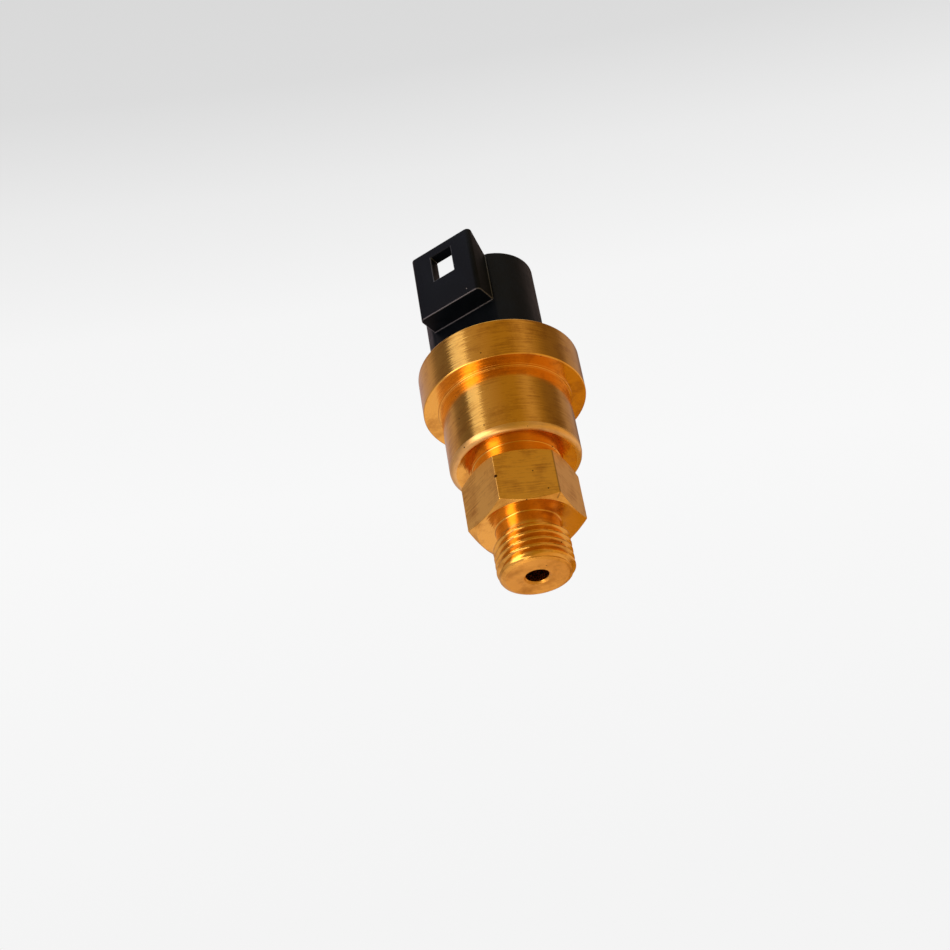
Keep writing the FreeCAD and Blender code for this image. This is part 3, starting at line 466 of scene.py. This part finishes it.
# Each bevel keeps its slope: where a flat cuts in, the bevel is short and the flat is tall.
bevelSteps = (
    ("stock", "SUBTRACT", "Stock radius", "Face radius"), ("cutIn", "SUBTRACT", "hexRadius", "Face radius"),
    ("squeeze", "DIVIDE", "cutIn", "stock"), ("outward", "SUBTRACT", "radius", "Face radius"),
    ("hexPlace", "MULTIPLY_ADD", "outward", "squeeze", "Face radius"),
    ("upperFoot", "SUBTRACT", "Hexagon height", "Upper bevel"),
    ("straight", "SUBTRACT", "upperFoot", "Lower bevel"),
    ("bevels", "ADD", "Lower bevel", "Upper bevel"), ("shortBevels", "MULTIPLY", "bevels", "squeeze"),
    ("tall", "SUBTRACT", "Hexagon height", "shortBevels"), ("stretch", "DIVIDE", "tall", "straight"),
    ("lowRise", "MINIMUM", "height", "Lower bevel"), ("low", "MULTIPLY", "lowRise", "squeeze"),
    ("overLow", "SUBTRACT", "height", "Lower bevel"), ("overLowSafe", "MAXIMUM", "overLow", 0.0),
    ("middleRise", "MINIMUM", "overLowSafe", "straight"),
    ("lowMiddle", "MULTIPLY_ADD", "middleRise", "stretch", "low"),
    ("overFoot", "SUBTRACT", "height", "upperFoot"), ("highRise", "MAXIMUM", "overFoot", 0.0),
    ("hexHeight", "MULTIPLY_ADD", "highRise", "squeeze", "lowMiddle"),
    ("aboveSeat", "GREATER_THAN", "height", -1e-6), ("hexTop", "ADD", "Hexagon height", 1e-6),
    ("belowNeck", "LESS_THAN", "height", "hexTop"), ("outside", "GREATER_THAN", "radius", "Face radius"),
    ("inBand", "MULTIPLY", "aboveSeat", "belowNeck"), ("inHex", "MULTIPLY", "inBand", "outside"),
    ("radiusGain", "SUBTRACT", "hexPlace", "radius"), ("heightGain", "SUBTRACT", "hexHeight", "height"),
    ("shapedRadius", "MULTIPLY_ADD", "inHex", "radiusGain", "radius"),
    ("shapedHeight", "MULTIPLY_ADD", "inHex", "heightGain", "height"))

# Below the sealing face a vee groove climbs one pitch a turn.
threadSteps = (
    ("risen", "SUBTRACT", "height", "Groove start"), ("climbed", "DIVIDE", "risen", "Pitch"),
    ("turned", "DIVIDE", "angle", math.tau), ("turns", "SUBTRACT", "climbed", "turned"),
    ("aboutGroove", "WRAP", "turns", 0.5, -0.5), ("offTurns", "ABSOLUTE", "aboutGroove"),
    ("offGroove", "MULTIPLY", "offTurns", "Pitch"), ("offRoot", "SUBTRACT", "offGroove", "Root half"),
    ("upFlank", "SMOOTH_MAX", "offRoot", 0.0, "Softness"),
    ("groove", "MULTIPLY_ADD", "upFlank", "Flank slope", "Root radius"),
    ("cut", "SMOOTH_MIN", "shapedRadius", "groove", "Softness"), ("onStud", "LESS_THAN", "height", -0.001),
    ("cutGain", "SUBTRACT", "cut", "shapedRadius"),
    ("threaded", "MULTIPLY_ADD", "onStud", "cutGain", "shapedRadius"),
    ("x", "MULTIPLY", "threaded", "cosine"), ("y", "MULTIPLY", "threaded", "sine"))


# Revolves an outline, then moves every point by the steps above.
def latheTree():
    tree = bpy.data.node_groups.new("turnedBodyLathe", "GeometryNodeTree")
    tree.interface.new_socket("Outline", in_out="INPUT", socket_type="NodeSocketGeometry")
    for name, kind, _ in latheInputs:
        tree.interface.new_socket(name, in_out="INPUT", socket_type=kind)
    tree.interface.new_socket("Body", in_out="OUTPUT", socket_type="NodeSocketGeometry")
    given = addNode(tree, "NodeGroupInput").outputs
    known = {name: given[name] for name, _, _ in latheInputs}
    known["index"] = addNode(tree, "GeometryNodeInputIndex")
    addSteps(tree, latheSteps, known)
    keepPlace = addNode(tree, "GeometryNodeCaptureAttribute")
    keepPlace.capture_items.new("VECTOR", "place")
    tree.links.new(given["Outline"], keepPlace.inputs[0])
    tree.links.new(addNode(tree, "GeometryNodeInputPosition").outputs[0], keepPlace.inputs[1])
    section = addNode(tree, "GeometryNodeMeshToCurve", None, {0: keepPlace.outputs[0]})
    circle = addNode(tree, "GeometryNodeCurvePrimitiveCircle", None, {"Resolution": given["Columns"]})
    keepTurn = addNode(tree, "GeometryNodeCaptureAttribute")
    keepTurn.capture_items.new("FLOAT", "turn")
    tree.links.new(circle.outputs[0], keepTurn.inputs[0])
    tree.links.new(known["turn"].outputs[0], keepTurn.inputs[1])
    skin = addNode(tree, "GeometryNodeCurveToMesh", None, {0: keepTurn.outputs[0], 1: section})
    place = addNode(tree, "ShaderNodeSeparateXYZ", None, {0: keepPlace.outputs[1]})
    known.update(radius=place.outputs[0], height=place.outputs[2], turn=keepTurn.outputs[1])
    addSteps(tree, hexagonSteps + bevelSteps + threadSteps, known)
    position = addNode(tree, "ShaderNodeCombineXYZ", None,
                       {0: known["x"], 1: known["y"], 2: known["shapedHeight"]})
    placed = addNode(tree, "GeometryNodeSetPosition", None, {0: skin, "Position": position})
    real = addNode(tree, "GeometryNodeRealizeInstances", None, {0: placed})
    finished = addNode(tree, "GeometryNodeSetMaterial", None, {0: real, "Material": given["Finish"]})
    addNode(tree, "NodeGroupOutput", None, {0: finished})
    return tree


# Runs a node tree on an object with the given inputs and returns a plain, closed, outward mesh.
def grownPiece(name, seed, tree, values, sharpAngle=40):
    modifier = seed.modifiers.new(name, "NODES")
    modifier.node_group = tree
    for socket in tree.interface.items_tree:
        if socket.in_out == "INPUT" and socket.name in values:
            modifier[socket.identifier] = values[socket.name]
    shape = bpy.data.meshes.new_from_object(seed.evaluated_get(bpy.context.evaluated_depsgraph_get()))
    bpy.data.objects.remove(seed)
    return finishedPiece(name, shape, sharpAngle)


def finishedPiece(name, shape, sharpAngle=40):
    work = bmesh.new()
    work.from_mesh(shape)
    bmesh.ops.remove_doubles(work, verts=work.verts, dist=1e-7)
    if work.calc_volume(signed=True) < 0:
        bmesh.ops.reverse_faces(work, faces=work.faces)
    for face in work.faces:
        face.smooth = True
    work.to_mesh(shape)
    openEdges = sum(not edge.is_manifold for edge in work.edges)
    print(name, "faces", len(work.faces), "open edges", openEdges)
    work.free()
    shape.set_sharp_from_angle(angle=math.radians(sharpAngle))
    return addObject(name, shape)


def makeTurnedBody():
    s = bodySizes
    end, top = bodyLow.z / mm, bodyHigh.z / mm
    collarRadius = min(bodyHigh.x, bodyHigh.y, -bodyLow.y) / mm
    corners = [
        (s["portMouth"], end, 0.1), (s["noseFace"], end, 0.12), (s["noseEdge"], end + s["noseRise"], 0.2),
        (s["threadRadius"], end + s["noseHeight"], 0.1),
        (s["threadRadius"], -s["undercutLength"] - s["undercutBevel"], 0.08),
        (s["undercut"], -s["undercutLength"], 0.15), (s["undercut"], 0, 0.25),
        (s["hexFace"], 0, 0.06), (s["hexStock"], s["hexLowerBevel"], 0.1),
        (s["hexStock"], s["hexHeight"] - s["hexUpperBevel"], 0.1), (s["hexFace"], s["hexHeight"], 0.1),
        (s["neckRadius"], s["hexHeight"], 0.2), (s["neckRadius"], s["barrelFoot"], 0.2),
        (s["barrelRadius"], s["barrelFoot"], s["barrelRounding"]),
        (s["barrelRadius"], s["collarFoot"] - s["ringHeight"], 0.05),
        (s["ringRadius"], s["collarFoot"] - s["ringHeight"], 0.12),
        (s["ringRadius"], s["collarFoot"], 0.05),
        (collarRadius, s["collarFoot"], 0.25), (collarRadius, top, 0.3), (s["lipRadius"], top, 0.12),
        (s["lipRadius"], top - s["lipThickness"], 0.06), (s["cupRadius"], top - s["lipThickness"], 0),
        (s["cupRadius"], s["cupFloor"], 0), (s["chamberRadius"], s["cupFloor"], 0),
        (s["chamberRadius"], s["chamberFloor"], 0), (s["glandOuter"], s["chamberFloor"], 0),
        (s["glandOuter"], s["chamberFloor"] - s["glandDepth"], 0),
        (s["glandInner"], s["chamberFloor"] - s["glandDepth"], 0), (s["glandInner"], s["chamberFloor"], 0),
        (s["pocketRadius"], s["chamberFloor"], 0),
        (s["pocketRadius"], s["chamberFloor"] - s["pocketDepth"], 0),
        (s["insertRadius"], s["chamberFloor"] - s["pocketDepth"], 0), (s["insertRadius"], s["boreTop"], 0),
        (s["portRadius"], s["boreTop"], 0), (s["portRadius"], end + s["portMouth"] - s["portRadius"], 0.1)]
    outline = dividedLoop(roundedLoop(corners), end, -s["undercutLength"] + 0.1, s["rowHeight"])
    values = {name: value(s) for name, _, value in latheInputs}
    body = grownPiece("turnedBody", loopObject("bodyOutline", outline), latheTree(), values)
    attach(body, "switch_body")
    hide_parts("port_body")
    print("turned body made")


makeTurnedBody()


# Millimetres; the shell is two round ends with a flat front that carries the latch box.
housingSizes = dict(
    plateTop=36.0, endRadius=8.5, endOffset=3.1,
    endBack=2.4, frontFlat=9.75, wall=1.4, shellTop=56.6, socketFloor=42.4, underside=39.4,
    latchHalf=7.0, latchFoot=45.0, latchWall=2.4, latchSide=1.4, latchFloor=2.0, latchRidge=13.4,
    latchRounding=0.9, windowHalf=2.35, windowFoot=52.55, windowHeight=6.1,
    padHalf=6.3, padSlope=1.2, padProud=0.3, padSink=0.1, padTop=44.7,
    edgeRounding=0.18, sliver=0.05, plateSides=96, arcSteps=40)


def arcPoints(centre, radius, start, stop, steps):
    angles = [start + (stop - start) * i / steps for i in range(steps + 1)]
    return [(centre[0] + radius * math.cos(a), centre[1] + radius * math.sin(a)) for a in angles]


def shellOutline(inset):
    s = housingSizes
    radius = s["endRadius"] - inset
    turn = math.asin((s["frontFlat"] - inset - s["endBack"]) / radius)
    right = arcPoints((s["endOffset"], -s["endBack"]), radius, -turn, math.pi / 2, s["arcSteps"])
    left = arcPoints((-s["endOffset"], -s["endBack"]), radius, math.pi / 2, math.pi + turn, s["arcSteps"])
    return right + left


# A prism over an outline in millimetres; turnTo places its own XY plane and lift direction.
def prism(name, outline, low, high, turnTo=None):
    work = bmesh.new()
    ends = [[work.verts.new((x * mm, y * mm, z * mm)) for x, y in outline] for z in (low, high)]
    work.faces.new(ends[0][::-1])
    work.faces.new(ends[1])
    count = len(outline)
    for i in range(count):
        j = (i + 1) % count
        work.faces.new((ends[0][i], ends[0][j], ends[1][j], ends[1][i]))
    if turnTo:
        bmesh.ops.transform(work, matrix=turnTo, verts=work.verts)
    bmesh.ops.recalc_face_normals(work, faces=work.faces)
    mesh = bpy.data.meshes.new(name)
    work.to_mesh(mesh)
    work.free()
    return addObject(name, mesh)


def boxOutline(x0, x1, y0, y1):
    return [(x0, y0), (x1, y0), (x1, y1), (x0, y1)]


def combine(target, tool, operation):
    modifier = target.modifiers.new("combine", "BOOLEAN")
    modifier.operation = operation
    modifier.object = tool
    modifier.solver = "EXACT"
    applyAll(target)
    bpy.data.objects.remove(tool)


def applyAll(item):
    shape = bpy.data.meshes.new_from_object(item.evaluated_get(bpy.context.evaluated_depsgraph_get()))
    item.modifiers.clear()
    item.data = shape


# Merges what a cut leaves too short to round, and the flat faces it divided.
def mergeSlivers(item, longest):
    work = bmesh.new()
    work.from_mesh(item.data)
    bmesh.ops.remove_doubles(work, verts=work.verts, dist=longest * mm)
    bmesh.ops.dissolve_limit(work, angle_limit=math.radians(0.5), verts=work.verts, edges=work.edges)
    work.to_mesh(item.data)
    work.free()


def roundEdges(item, width, segments=3, limit=35, edgeSlot=-1):
    modifier = item.modifiers.new("edges", "BEVEL")
    modifier.use_clamp_overlap = False
    modifier.width = width * mm
    modifier.segments = segments
    modifier.limit_method = "ANGLE"
    modifier.angle_limit = math.radians(limit)
    modifier.material = edgeSlot
    applyAll(item)
    if edgeSlot > 0:
        clearInnerEdges(item, edgeSlot)


# The painted edge highlight goes on the outer edges only: a rounding in an inner corner keeps the first
# material.
def clearInnerEdges(item, edgeSlot):
    work = bmesh.new()
    work.from_mesh(item.data)
    for face in work.faces:
        bend = sum(edge.calc_face_angle_signed(0) for edge in face.edges)
        if face.material_index == edgeSlot and bend < 0:
            face.material_index = 0
    work.to_mesh(item.data)
    work.free()


# Turns drawn (y, z) points, lifted along X, into the object's own frame.
sideways = Matrix(((0, 0, 1, 0), (1, 0, 0, 0), (0, 1, 0, 0), (0, 0, 0, 1)))


def makeHousing():
    s = housingSizes
    foot, top = housingLow.z / mm, housingHigh.z / mm
    front = -housingLow.y / mm
    plateRadius = housingHigh.x / mm
    sides = s["plateSides"] - 1
    plate = arcPoints((0, 0), plateRadius, 0, math.tau * sides / (sides + 1), sides)
    housing = prism("housingBlank", plate, foot, s["plateTop"])
    combine(housing, prism("shell", shellOutline(0), foot + 1, s["shellTop"]), "UNION")
    face, half, slope = -s["frontFlat"], s["padHalf"], s["padSlope"]
    proud, sunk = face - s["padProud"], face + s["padSink"]
    pad = [(half, proud), (half + slope, sunk), (-half - slope, sunk), (-half, proud)]
    combine(housing, prism("pad", pad, foot + 1, s["padTop"]), "UNION")
    corner = s["latchRounding"]
    latch = arcPoints((s["latchHalf"] - corner, -front + corner), corner, -math.pi / 2, 0, 6)
    latch += [(s["latchHalf"], -s["frontFlat"] + s["wall"]), (-s["latchHalf"], -s["frontFlat"] + s["wall"])]
    latch += arcPoints((corner - s["latchHalf"], -front + corner), corner, math.pi, math.pi * 1.5, 6)
    combine(housing, prism("latch", latch, s["latchFoot"], top), "UNION")
    slope = [(-s["latchRidge"], top), (-s["frontFlat"], s["shellTop"]), (0, s["shellTop"]), (0, top + 1),
             (-s["latchRidge"], top + 1)]
    combine(housing, prism("slope", slope, -s["latchHalf"] - 1, s["latchHalf"] + 1, sideways), "DIFFERENCE")
    inner = s["latchHalf"] - s["latchSide"]
    slot = boxOutline(-inner, inner, -front + s["latchWall"], -s["frontFlat"])
    combine(housing, prism("slot", slot, s["latchFoot"] + s["latchFloor"], top + 1), "DIFFERENCE")
    window = boxOutline(-s["windowHalf"], s["windowHalf"], -front - 1, -front + s["latchWall"] + 0.5)
    windowTop = s["windowFoot"] + s["windowHeight"]
    combine(housing, prism("window", window, s["windowFoot"], windowTop), "DIFFERENCE")
    combine(housing, prism("well", shellOutline(s["wall"]), s["socketFloor"], top + 1), "DIFFERENCE")
    combine(housing, prism("room", shellOutline(s["wall"]), foot - 1, s["underside"]), "DIFFERENCE")
    housing.data.materials.clear()
    for finish in (nylonFinish, edgeHighlightNylonFinish):
        housing.data.materials.append(finish)
    mergeSlivers(housing, s["sliver"])
    # The outer edge roundings take the edge finish, whose lighter grey is a painted highlight.
    roundEdges(housing, s["edgeRounding"], edgeSlot=1)
    piece = finishedPiece("socketHousing", housing.data, 50)
    bpy.data.objects.remove(housing)
    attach(piece, "switch_body")
    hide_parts("connector_housing")
    print("socket housing made")


makeHousing()

# Coiled from round wire, its two end turns ground flat on the piston's seat and under the nut.
rangeSpring = dict(radius=3.9, wireRadius=0.55, pitch=1.5, points=72, sides=16, keep=0.9242)

springInputs = (
    ("Turns", "NodeSocketFloat"), ("Radius", "NodeSocketFloat"), ("Height", "NodeSocketFloat"),
    ("Foot", "NodeSocketVector"), ("Wire radius", "NodeSocketFloat"), ("Finish", "NodeSocketMaterial"))


def springTree():
    tree = bpy.data.node_groups.new("coiledSpring", "GeometryNodeTree")
    tree.interface.new_socket("Seed", in_out="INPUT", socket_type="NodeSocketGeometry")
    for name, kind in springInputs:
        tree.interface.new_socket(name, in_out="INPUT", socket_type=kind)
    tree.interface.new_socket("Spring", in_out="OUTPUT", socket_type="NodeSocketGeometry")
    given = addNode(tree, "NodeGroupInput").outputs
    helix = addNode(tree, "GeometryNodeCurveSpiral", None, {
        "Resolution": rangeSpring["points"], "Rotations": given["Turns"], "Start Radius": given["Radius"],
        "End Radius": given["Radius"], "Height": given["Height"]})
    wire = addNode(tree, "GeometryNodeCurvePrimitiveCircle", None,
                   {"Resolution": rangeSpring["sides"], "Radius": given["Wire radius"]})
    swept = addNode(tree, "GeometryNodeCurveToMesh", None, {0: helix, 1: wire, "Fill Caps": True})
    placed = addNode(tree, "GeometryNodeSetPosition", None, {0: swept, "Offset": given["Foot"]})
    real = addNode(tree, "GeometryNodeRealizeInstances", None, {0: placed})
    finished = addNode(tree, "GeometryNodeSetMaterial", None, {0: real, "Material": given["Finish"]})
    addNode(tree, "NodeGroupOutput", None, {0: finished})
    return tree


# Cuts a closed mesh flat at a height and closes the cut; above says which side goes.
def cutFlat(shape, height, above):
    work = bmesh.new()
    work.from_mesh(shape)
    everything = list(work.verts) + list(work.edges) + list(work.faces)
    cut = bmesh.ops.bisect_plane(work, geom=everything, plane_co=(0, 0, height), plane_no=(0, 0, 1),
                                 clear_outer=above, clear_inner=not above)
    rim = [item for item in cut["geom_cut"] if isinstance(item, bmesh.types.BMEdge)]
    bmesh.ops.holes_fill(work, edges=rim, sides=0)
    work.to_mesh(shape)
    work.free()


def makeRangeSpring():
    s = rangeSpring
    height = springHigh.z - springLow.z
    values = {"Turns": height / (s["pitch"] * mm), "Radius": s["radius"] * mm, "Height": height,
              "Foot": (0, 0, springLow.z), "Wire radius": s["wireRadius"] * mm,
              "Finish": innerMade["temperedSpringWire"]}
    seed = loopObject("springSeed", [Vector((0, 0)), Vector((1, 0))])
    spring = grownPiece("coiledRangeSpring", seed, springTree(), values)
    cutFlat(spring.data, springLow.z, False)
    cutFlat(spring.data, springHigh.z, True)
    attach(spring, "switch_body")
    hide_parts("range_spring")
    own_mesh(spring)
    print("range spring made")


makeRangeSpring()

# Blanked from strip and tin plated; a blade's tip is coined to a wedge that leads the plug's socket on.
blades = dict(tipLength=1.1, tipThickness=0.45, tipWidth=0.7, edgeRounding=0.07)


def makeTerminal(node):
    s = blades
    low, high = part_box(node)
    work = bmesh.new()
    work.from_mesh(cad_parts[node].data)
    bmesh.ops.remove_doubles(work, verts=work.verts, dist=1e-6)
    bmesh.ops.dissolve_limit(work, angle_limit=math.radians(2), verts=work.verts, edges=work.edges)
    everything = list(work.verts) + list(work.edges) + list(work.faces)
    tipFoot = high.z - s["tipLength"] * mm
    bmesh.ops.bisect_plane(work, geom=everything, plane_co=(0, 0, tipFoot), plane_no=(0, 0, 1))
    tip = [vert for vert in work.verts if vert.co.z > high.z - 1e-5]
    middle = sum((vert.co for vert in tip), Vector()) / len(tip)
    for vert in tip:
        vert.co.x = middle.x + (vert.co.x - middle.x) * s["tipWidth"]
        vert.co.y = middle.y + (vert.co.y - middle.y) * s["tipThickness"]
    shape = bpy.data.meshes.new(node + "Blade")
    work.to_mesh(shape)
    work.free()
    blade = addObject(node + "Blade", shape)
    roundEdges(blade, s["edgeRounding"], 2)
    blade.data.materials.clear()
    blade.data.materials.append(innerMade["tinPlatedStrip"])
    piece = finishedPiece(node.replace("terminal_", "terminalBlade_"), blade.data, 40)
    bpy.data.objects.remove(blade)
    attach(piece, "switch_body")
    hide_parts(node)


for node in ("terminal_nc", "terminal_no", "terminal_com"):
    makeTerminal(node)
print("terminals made")

studio = dict(
    camera=(0.122562, -0.228578, -0.167329), right=(0.80504, 0.57652, -0.13976),
    up=(0.42935, -0.40368, 0.8079), forward=(-0.40935, 0.7104, 0.57251), lens=64.42, floorHeight=-0.3,
    stripAzimuth=246, stripDistance=0.6, stripHeight=0.44, stripSize=(0.25, 0.6), stripPower=0.5,
    overheadPower=30, cast=(1.0, 0.85, 1.0), cardAzimuth=120, cardDistance=0.06, cardWidth=0.056,
    cardShift=0.035, cardTop=0.03, cardFoot=-0.075)


def makeCamera():
    s = studio
    data = bpy.data.cameras.new("studioCamera")
    data.lens = s["lens"]
    data.sensor_width = 36.0
    camera = addObject("studioCamera", data)
    columns = [Vector(s["right"]), Vector(s["up"]), -Vector(s["forward"])]
    camera.matrix_world = Matrix.Translation(s["camera"]) @ Matrix(columns).transposed().to_4x4()
    data.clip_start = 0.01
    bpy.context.scene.camera = camera


# What stands round the object: (azimuth in degrees, colour, brightness high, level and low). Pale walls
# stand on the far side, tan board at the front right, dark gaps beside the lights, and a window low down.
surround = (
    (0, "#f6d87e", 0.36, 0.85, 0.72), (12, "#f0d080", 0.26, 0.9, 0.75), (40, "#f0d090", 0.23, 0.95, 0.85),
    (56, "#f4e4c8", 0.44, 0.95, 0.88), (82, "#ffeccb", 0.42, 0.9, 0.8), (100, "#ffe6c4", 0.18, 0.7, 0.8),
    (125, "#fff6e4", 0.5, 0.62, 0.95), (150, "#fff4e6", 0.52, 0.6, 0.9), (190, "#fff4e2", 0.5, 0.52, 0.6),
    (203, "#fff4e0", 0.22, 0.5, 0.6), (226, "#fff4e6", 0.16, 0.5, 0.7), (239, "#fff6e6", 0.27, 3.6, 3.2),
    (258, "#fff3d0", 0.5, 3.6, 3.2), (270, "#ffeeb8", 0.46, 0.5, 0.6), (284, "#ffe59c", 0.42, 0.36, 0.42),
    (300, "#ffe070", 0.38, 0.36, 0.4), (322, "#ffde68", 0.38, 0.5, 0.5), (343, "#ffeab0", 0.56, 0.75, 0.65))

# The backdrop straight ahead, from low to high in the view: (place, colour).
backdropFade = (
    (0.1, "#f4f4f4"), (0.5, "#f8f8f8"), (0.68, "#f5f5f5"),
    (0.8, "#ebebeb"), (0.9, "#dcdcdc"), (1.0, "#d9d9d9"))


def makeWorld():
    world = bpy.data.worlds.new("studioWorld")
    bpy.context.scene.world = world
    world.use_nodes = True
    tree = world.node_tree
    tree.nodes.clear()
    toward = addNode(tree, "ShaderNodeTexCoord").outputs["Generated"]
    parts = addNode(tree, "ShaderNodeSeparateXYZ", None, {0: toward})
    known = dict(x=parts.outputs[0], y=parts.outputs[1])
    addSteps(tree, (("azimuth", "ARCTAN2", "y", "x"), ("turns", "DIVIDE", "azimuth", math.tau),
                    ("part", "FRACT", "turns")), known)
    bands = []
    for band in (2, 3, 4):
        ramp = addNode(tree, "ShaderNodeValToRGB", None, {0: known["part"]})
        stops = []
        for row in surround:
            lit = [row[band] * part * cast for part, cast in zip(linearColour(row[1]), studio["cast"])]
            stops.append((row[0] / 360, lit + [1]))
        fillRamp(ramp, stops + [(1.0, stops[0][1])])
        bands.append(ramp)
    raised = addNode(tree, "ShaderNodeMapRange", smoothRange,
                     {0: parts.outputs[2], 1: 0.08, 2: 0.42})
    sunk = addNode(tree, "ShaderNodeMapRange", smoothRange,
                   {0: parts.outputs[2], 1: -0.22, 2: -0.5})
    upper = addNode(tree, "ShaderNodeMix", colourMix, {0: raised, 6: bands[1], 7: bands[0]})
    lower = addNode(tree, "ShaderNodeMix", colourMix, {0: sunk, 6: upper.outputs[2], 7: bands[2]})
    overhead = addNode(tree, "ShaderNodeMapRange", smoothRange,
                       {0: parts.outputs[2], 1: 0.86, 2: 0.97})
    around = addNode(tree, "ShaderNodeMix", colourMix,
                     {0: overhead, 6: lower.outputs[2], 7: (1, 1, 1, 1)})
    rise = Vector(studio["up"]) - 0.15 * Vector(studio["right"])
    lift = addNode(tree, "ShaderNodeVectorMath", {"operation": "DOT_PRODUCT"}, {0: toward, 1: rise})
    place = addNode(tree, "ShaderNodeMapRange", None, {0: lift.outputs["Value"], 1: -0.3, 2: 0.3})
    backdrop = addNode(tree, "ShaderNodeValToRGB", None, {0: place})
    fillRamp(backdrop, [(spot, linearColour(colour)) for spot, colour in backdropFade])
    seen = addNode(tree, "ShaderNodeLightPath").outputs["Is Camera Ray"]
    colour = addNode(tree, "ShaderNodeMix", colourMix,
                     {0: seen, 6: around.outputs[2], 7: backdrop})
    glow = addNode(tree, "ShaderNodeBackground", None, {0: colour.outputs[2]})
    addNode(tree, "ShaderNodeOutputWorld", None, {0: glow})


def areaLight(name, place, aim, size, power, colour, glossy):
    data = bpy.data.lights.new(name, "AREA")
    data.shape = "RECTANGLE"
    data.size, data.size_y = size
    data.energy = power
    data.color = linearColour(colour)[:3]
    lamp = addObject(name, data)
    lamp.location = place
    lamp.rotation_euler = (Vector(aim) - Vector(place)).to_track_quat("-Z", "Y").to_euler()
    lamp.visible_camera = False
    lamp.visible_glossy = glossy


def makeFloor():
    work = bmesh.new()
    bmesh.ops.create_grid(work, x_segments=8, y_segments=8, size=4.0)
    mesh = bpy.data.meshes.new("studioFloor")
    work.to_mesh(mesh)
    work.free()
    floor = addObject("studioFloor", mesh)
    floor.location.z = studio["floorHeight"]
    material, tree, shader, place = newFinish("paleMattPaper")
    mottle = addNode(tree, "ShaderNodeTexNoise", None, {"Vector": place, "Scale": 3.0})
    paper = addNode(tree, "ShaderNodeMix", colourMix,
                    {0: mottle, 6: linearColour("#b4b9c6"), 7: linearColour("#b9becb")})
    tree.links.new(paper.outputs[2], shader.inputs["Base Color"])
    shader.inputs["Roughness"].default_value = 0.9
    shader.inputs["Emission Color"].default_value = linearColour("#f2f3f6")
    shader.inputs["Emission Strength"].default_value = 0.5
    mesh.materials.append(material)
    floor.visible_glossy = False  # the lights below the horizon still reach the object
    floor.visible_diffuse = False
    floor.visible_shadow = False


# A small tan card beside the object: the undersides on the right mirror it instead of the pale wall.
def makeCard():
    s = studio
    turn = math.radians(s["cardAzimuth"])
    out, across = Vector((math.cos(turn), math.sin(turn), 0)), Vector((math.sin(turn), -math.cos(turn), 0))
    middle = out * s["cardDistance"] + across * s["cardShift"]
    half = across * s["cardWidth"] / 2
    low, high = Vector((0, 0, s["cardFoot"])), Vector((0, 0, s["cardTop"]))
    corners = [middle - half + low, middle + half + low, middle + half + high, middle - half + high]
    mesh = bpy.data.meshes.new("tanCard")
    mesh.from_pydata(corners, [], [(0, 1, 2, 3)])
    card = addObject("tanCard", mesh)
    material, tree, shader, place = newFinish("tanKraftCard")
    fibres = addNode(tree, "ShaderNodeTexNoise", None, {"Vector": place, "Scale": 1 / (2.0 * mm)})
    pulp = addNode(tree, "ShaderNodeMix", colourMix,
                   {0: fibres, 6: linearColour("#c9a83a"), 7: linearColour("#bf9c30")})
    tree.links.new(pulp.outputs[2], shader.inputs["Base Color"])
    shader.inputs["Roughness"].default_value = 1.0
    mesh.materials.append(material)
    card.visible_camera = False
    card.visible_diffuse = False
    card.visible_shadow = False


makeCamera()
makeWorld()
makeFloor()
makeCard()
middle = (cadBounds[0] + cadBounds[1]) / 2
stripAngle, stripDistance = math.radians(studio["stripAzimuth"]), studio["stripDistance"]
stripX, stripY = stripDistance * math.cos(stripAngle), stripDistance * math.sin(stripAngle)
stripPlace = (stripX, stripY, studio["stripHeight"])
areaLight("stripLight", stripPlace, middle, studio["stripSize"], studio["stripPower"], "#d3d8ff", True)
areaLight("overheadLight", (0, 0, 1.6), middle, (2.0, 2.0), studio["overheadPower"], "#ffffff", False)
bpy.context.scene.view_settings.view_transform = "Standard"
print("studio made")
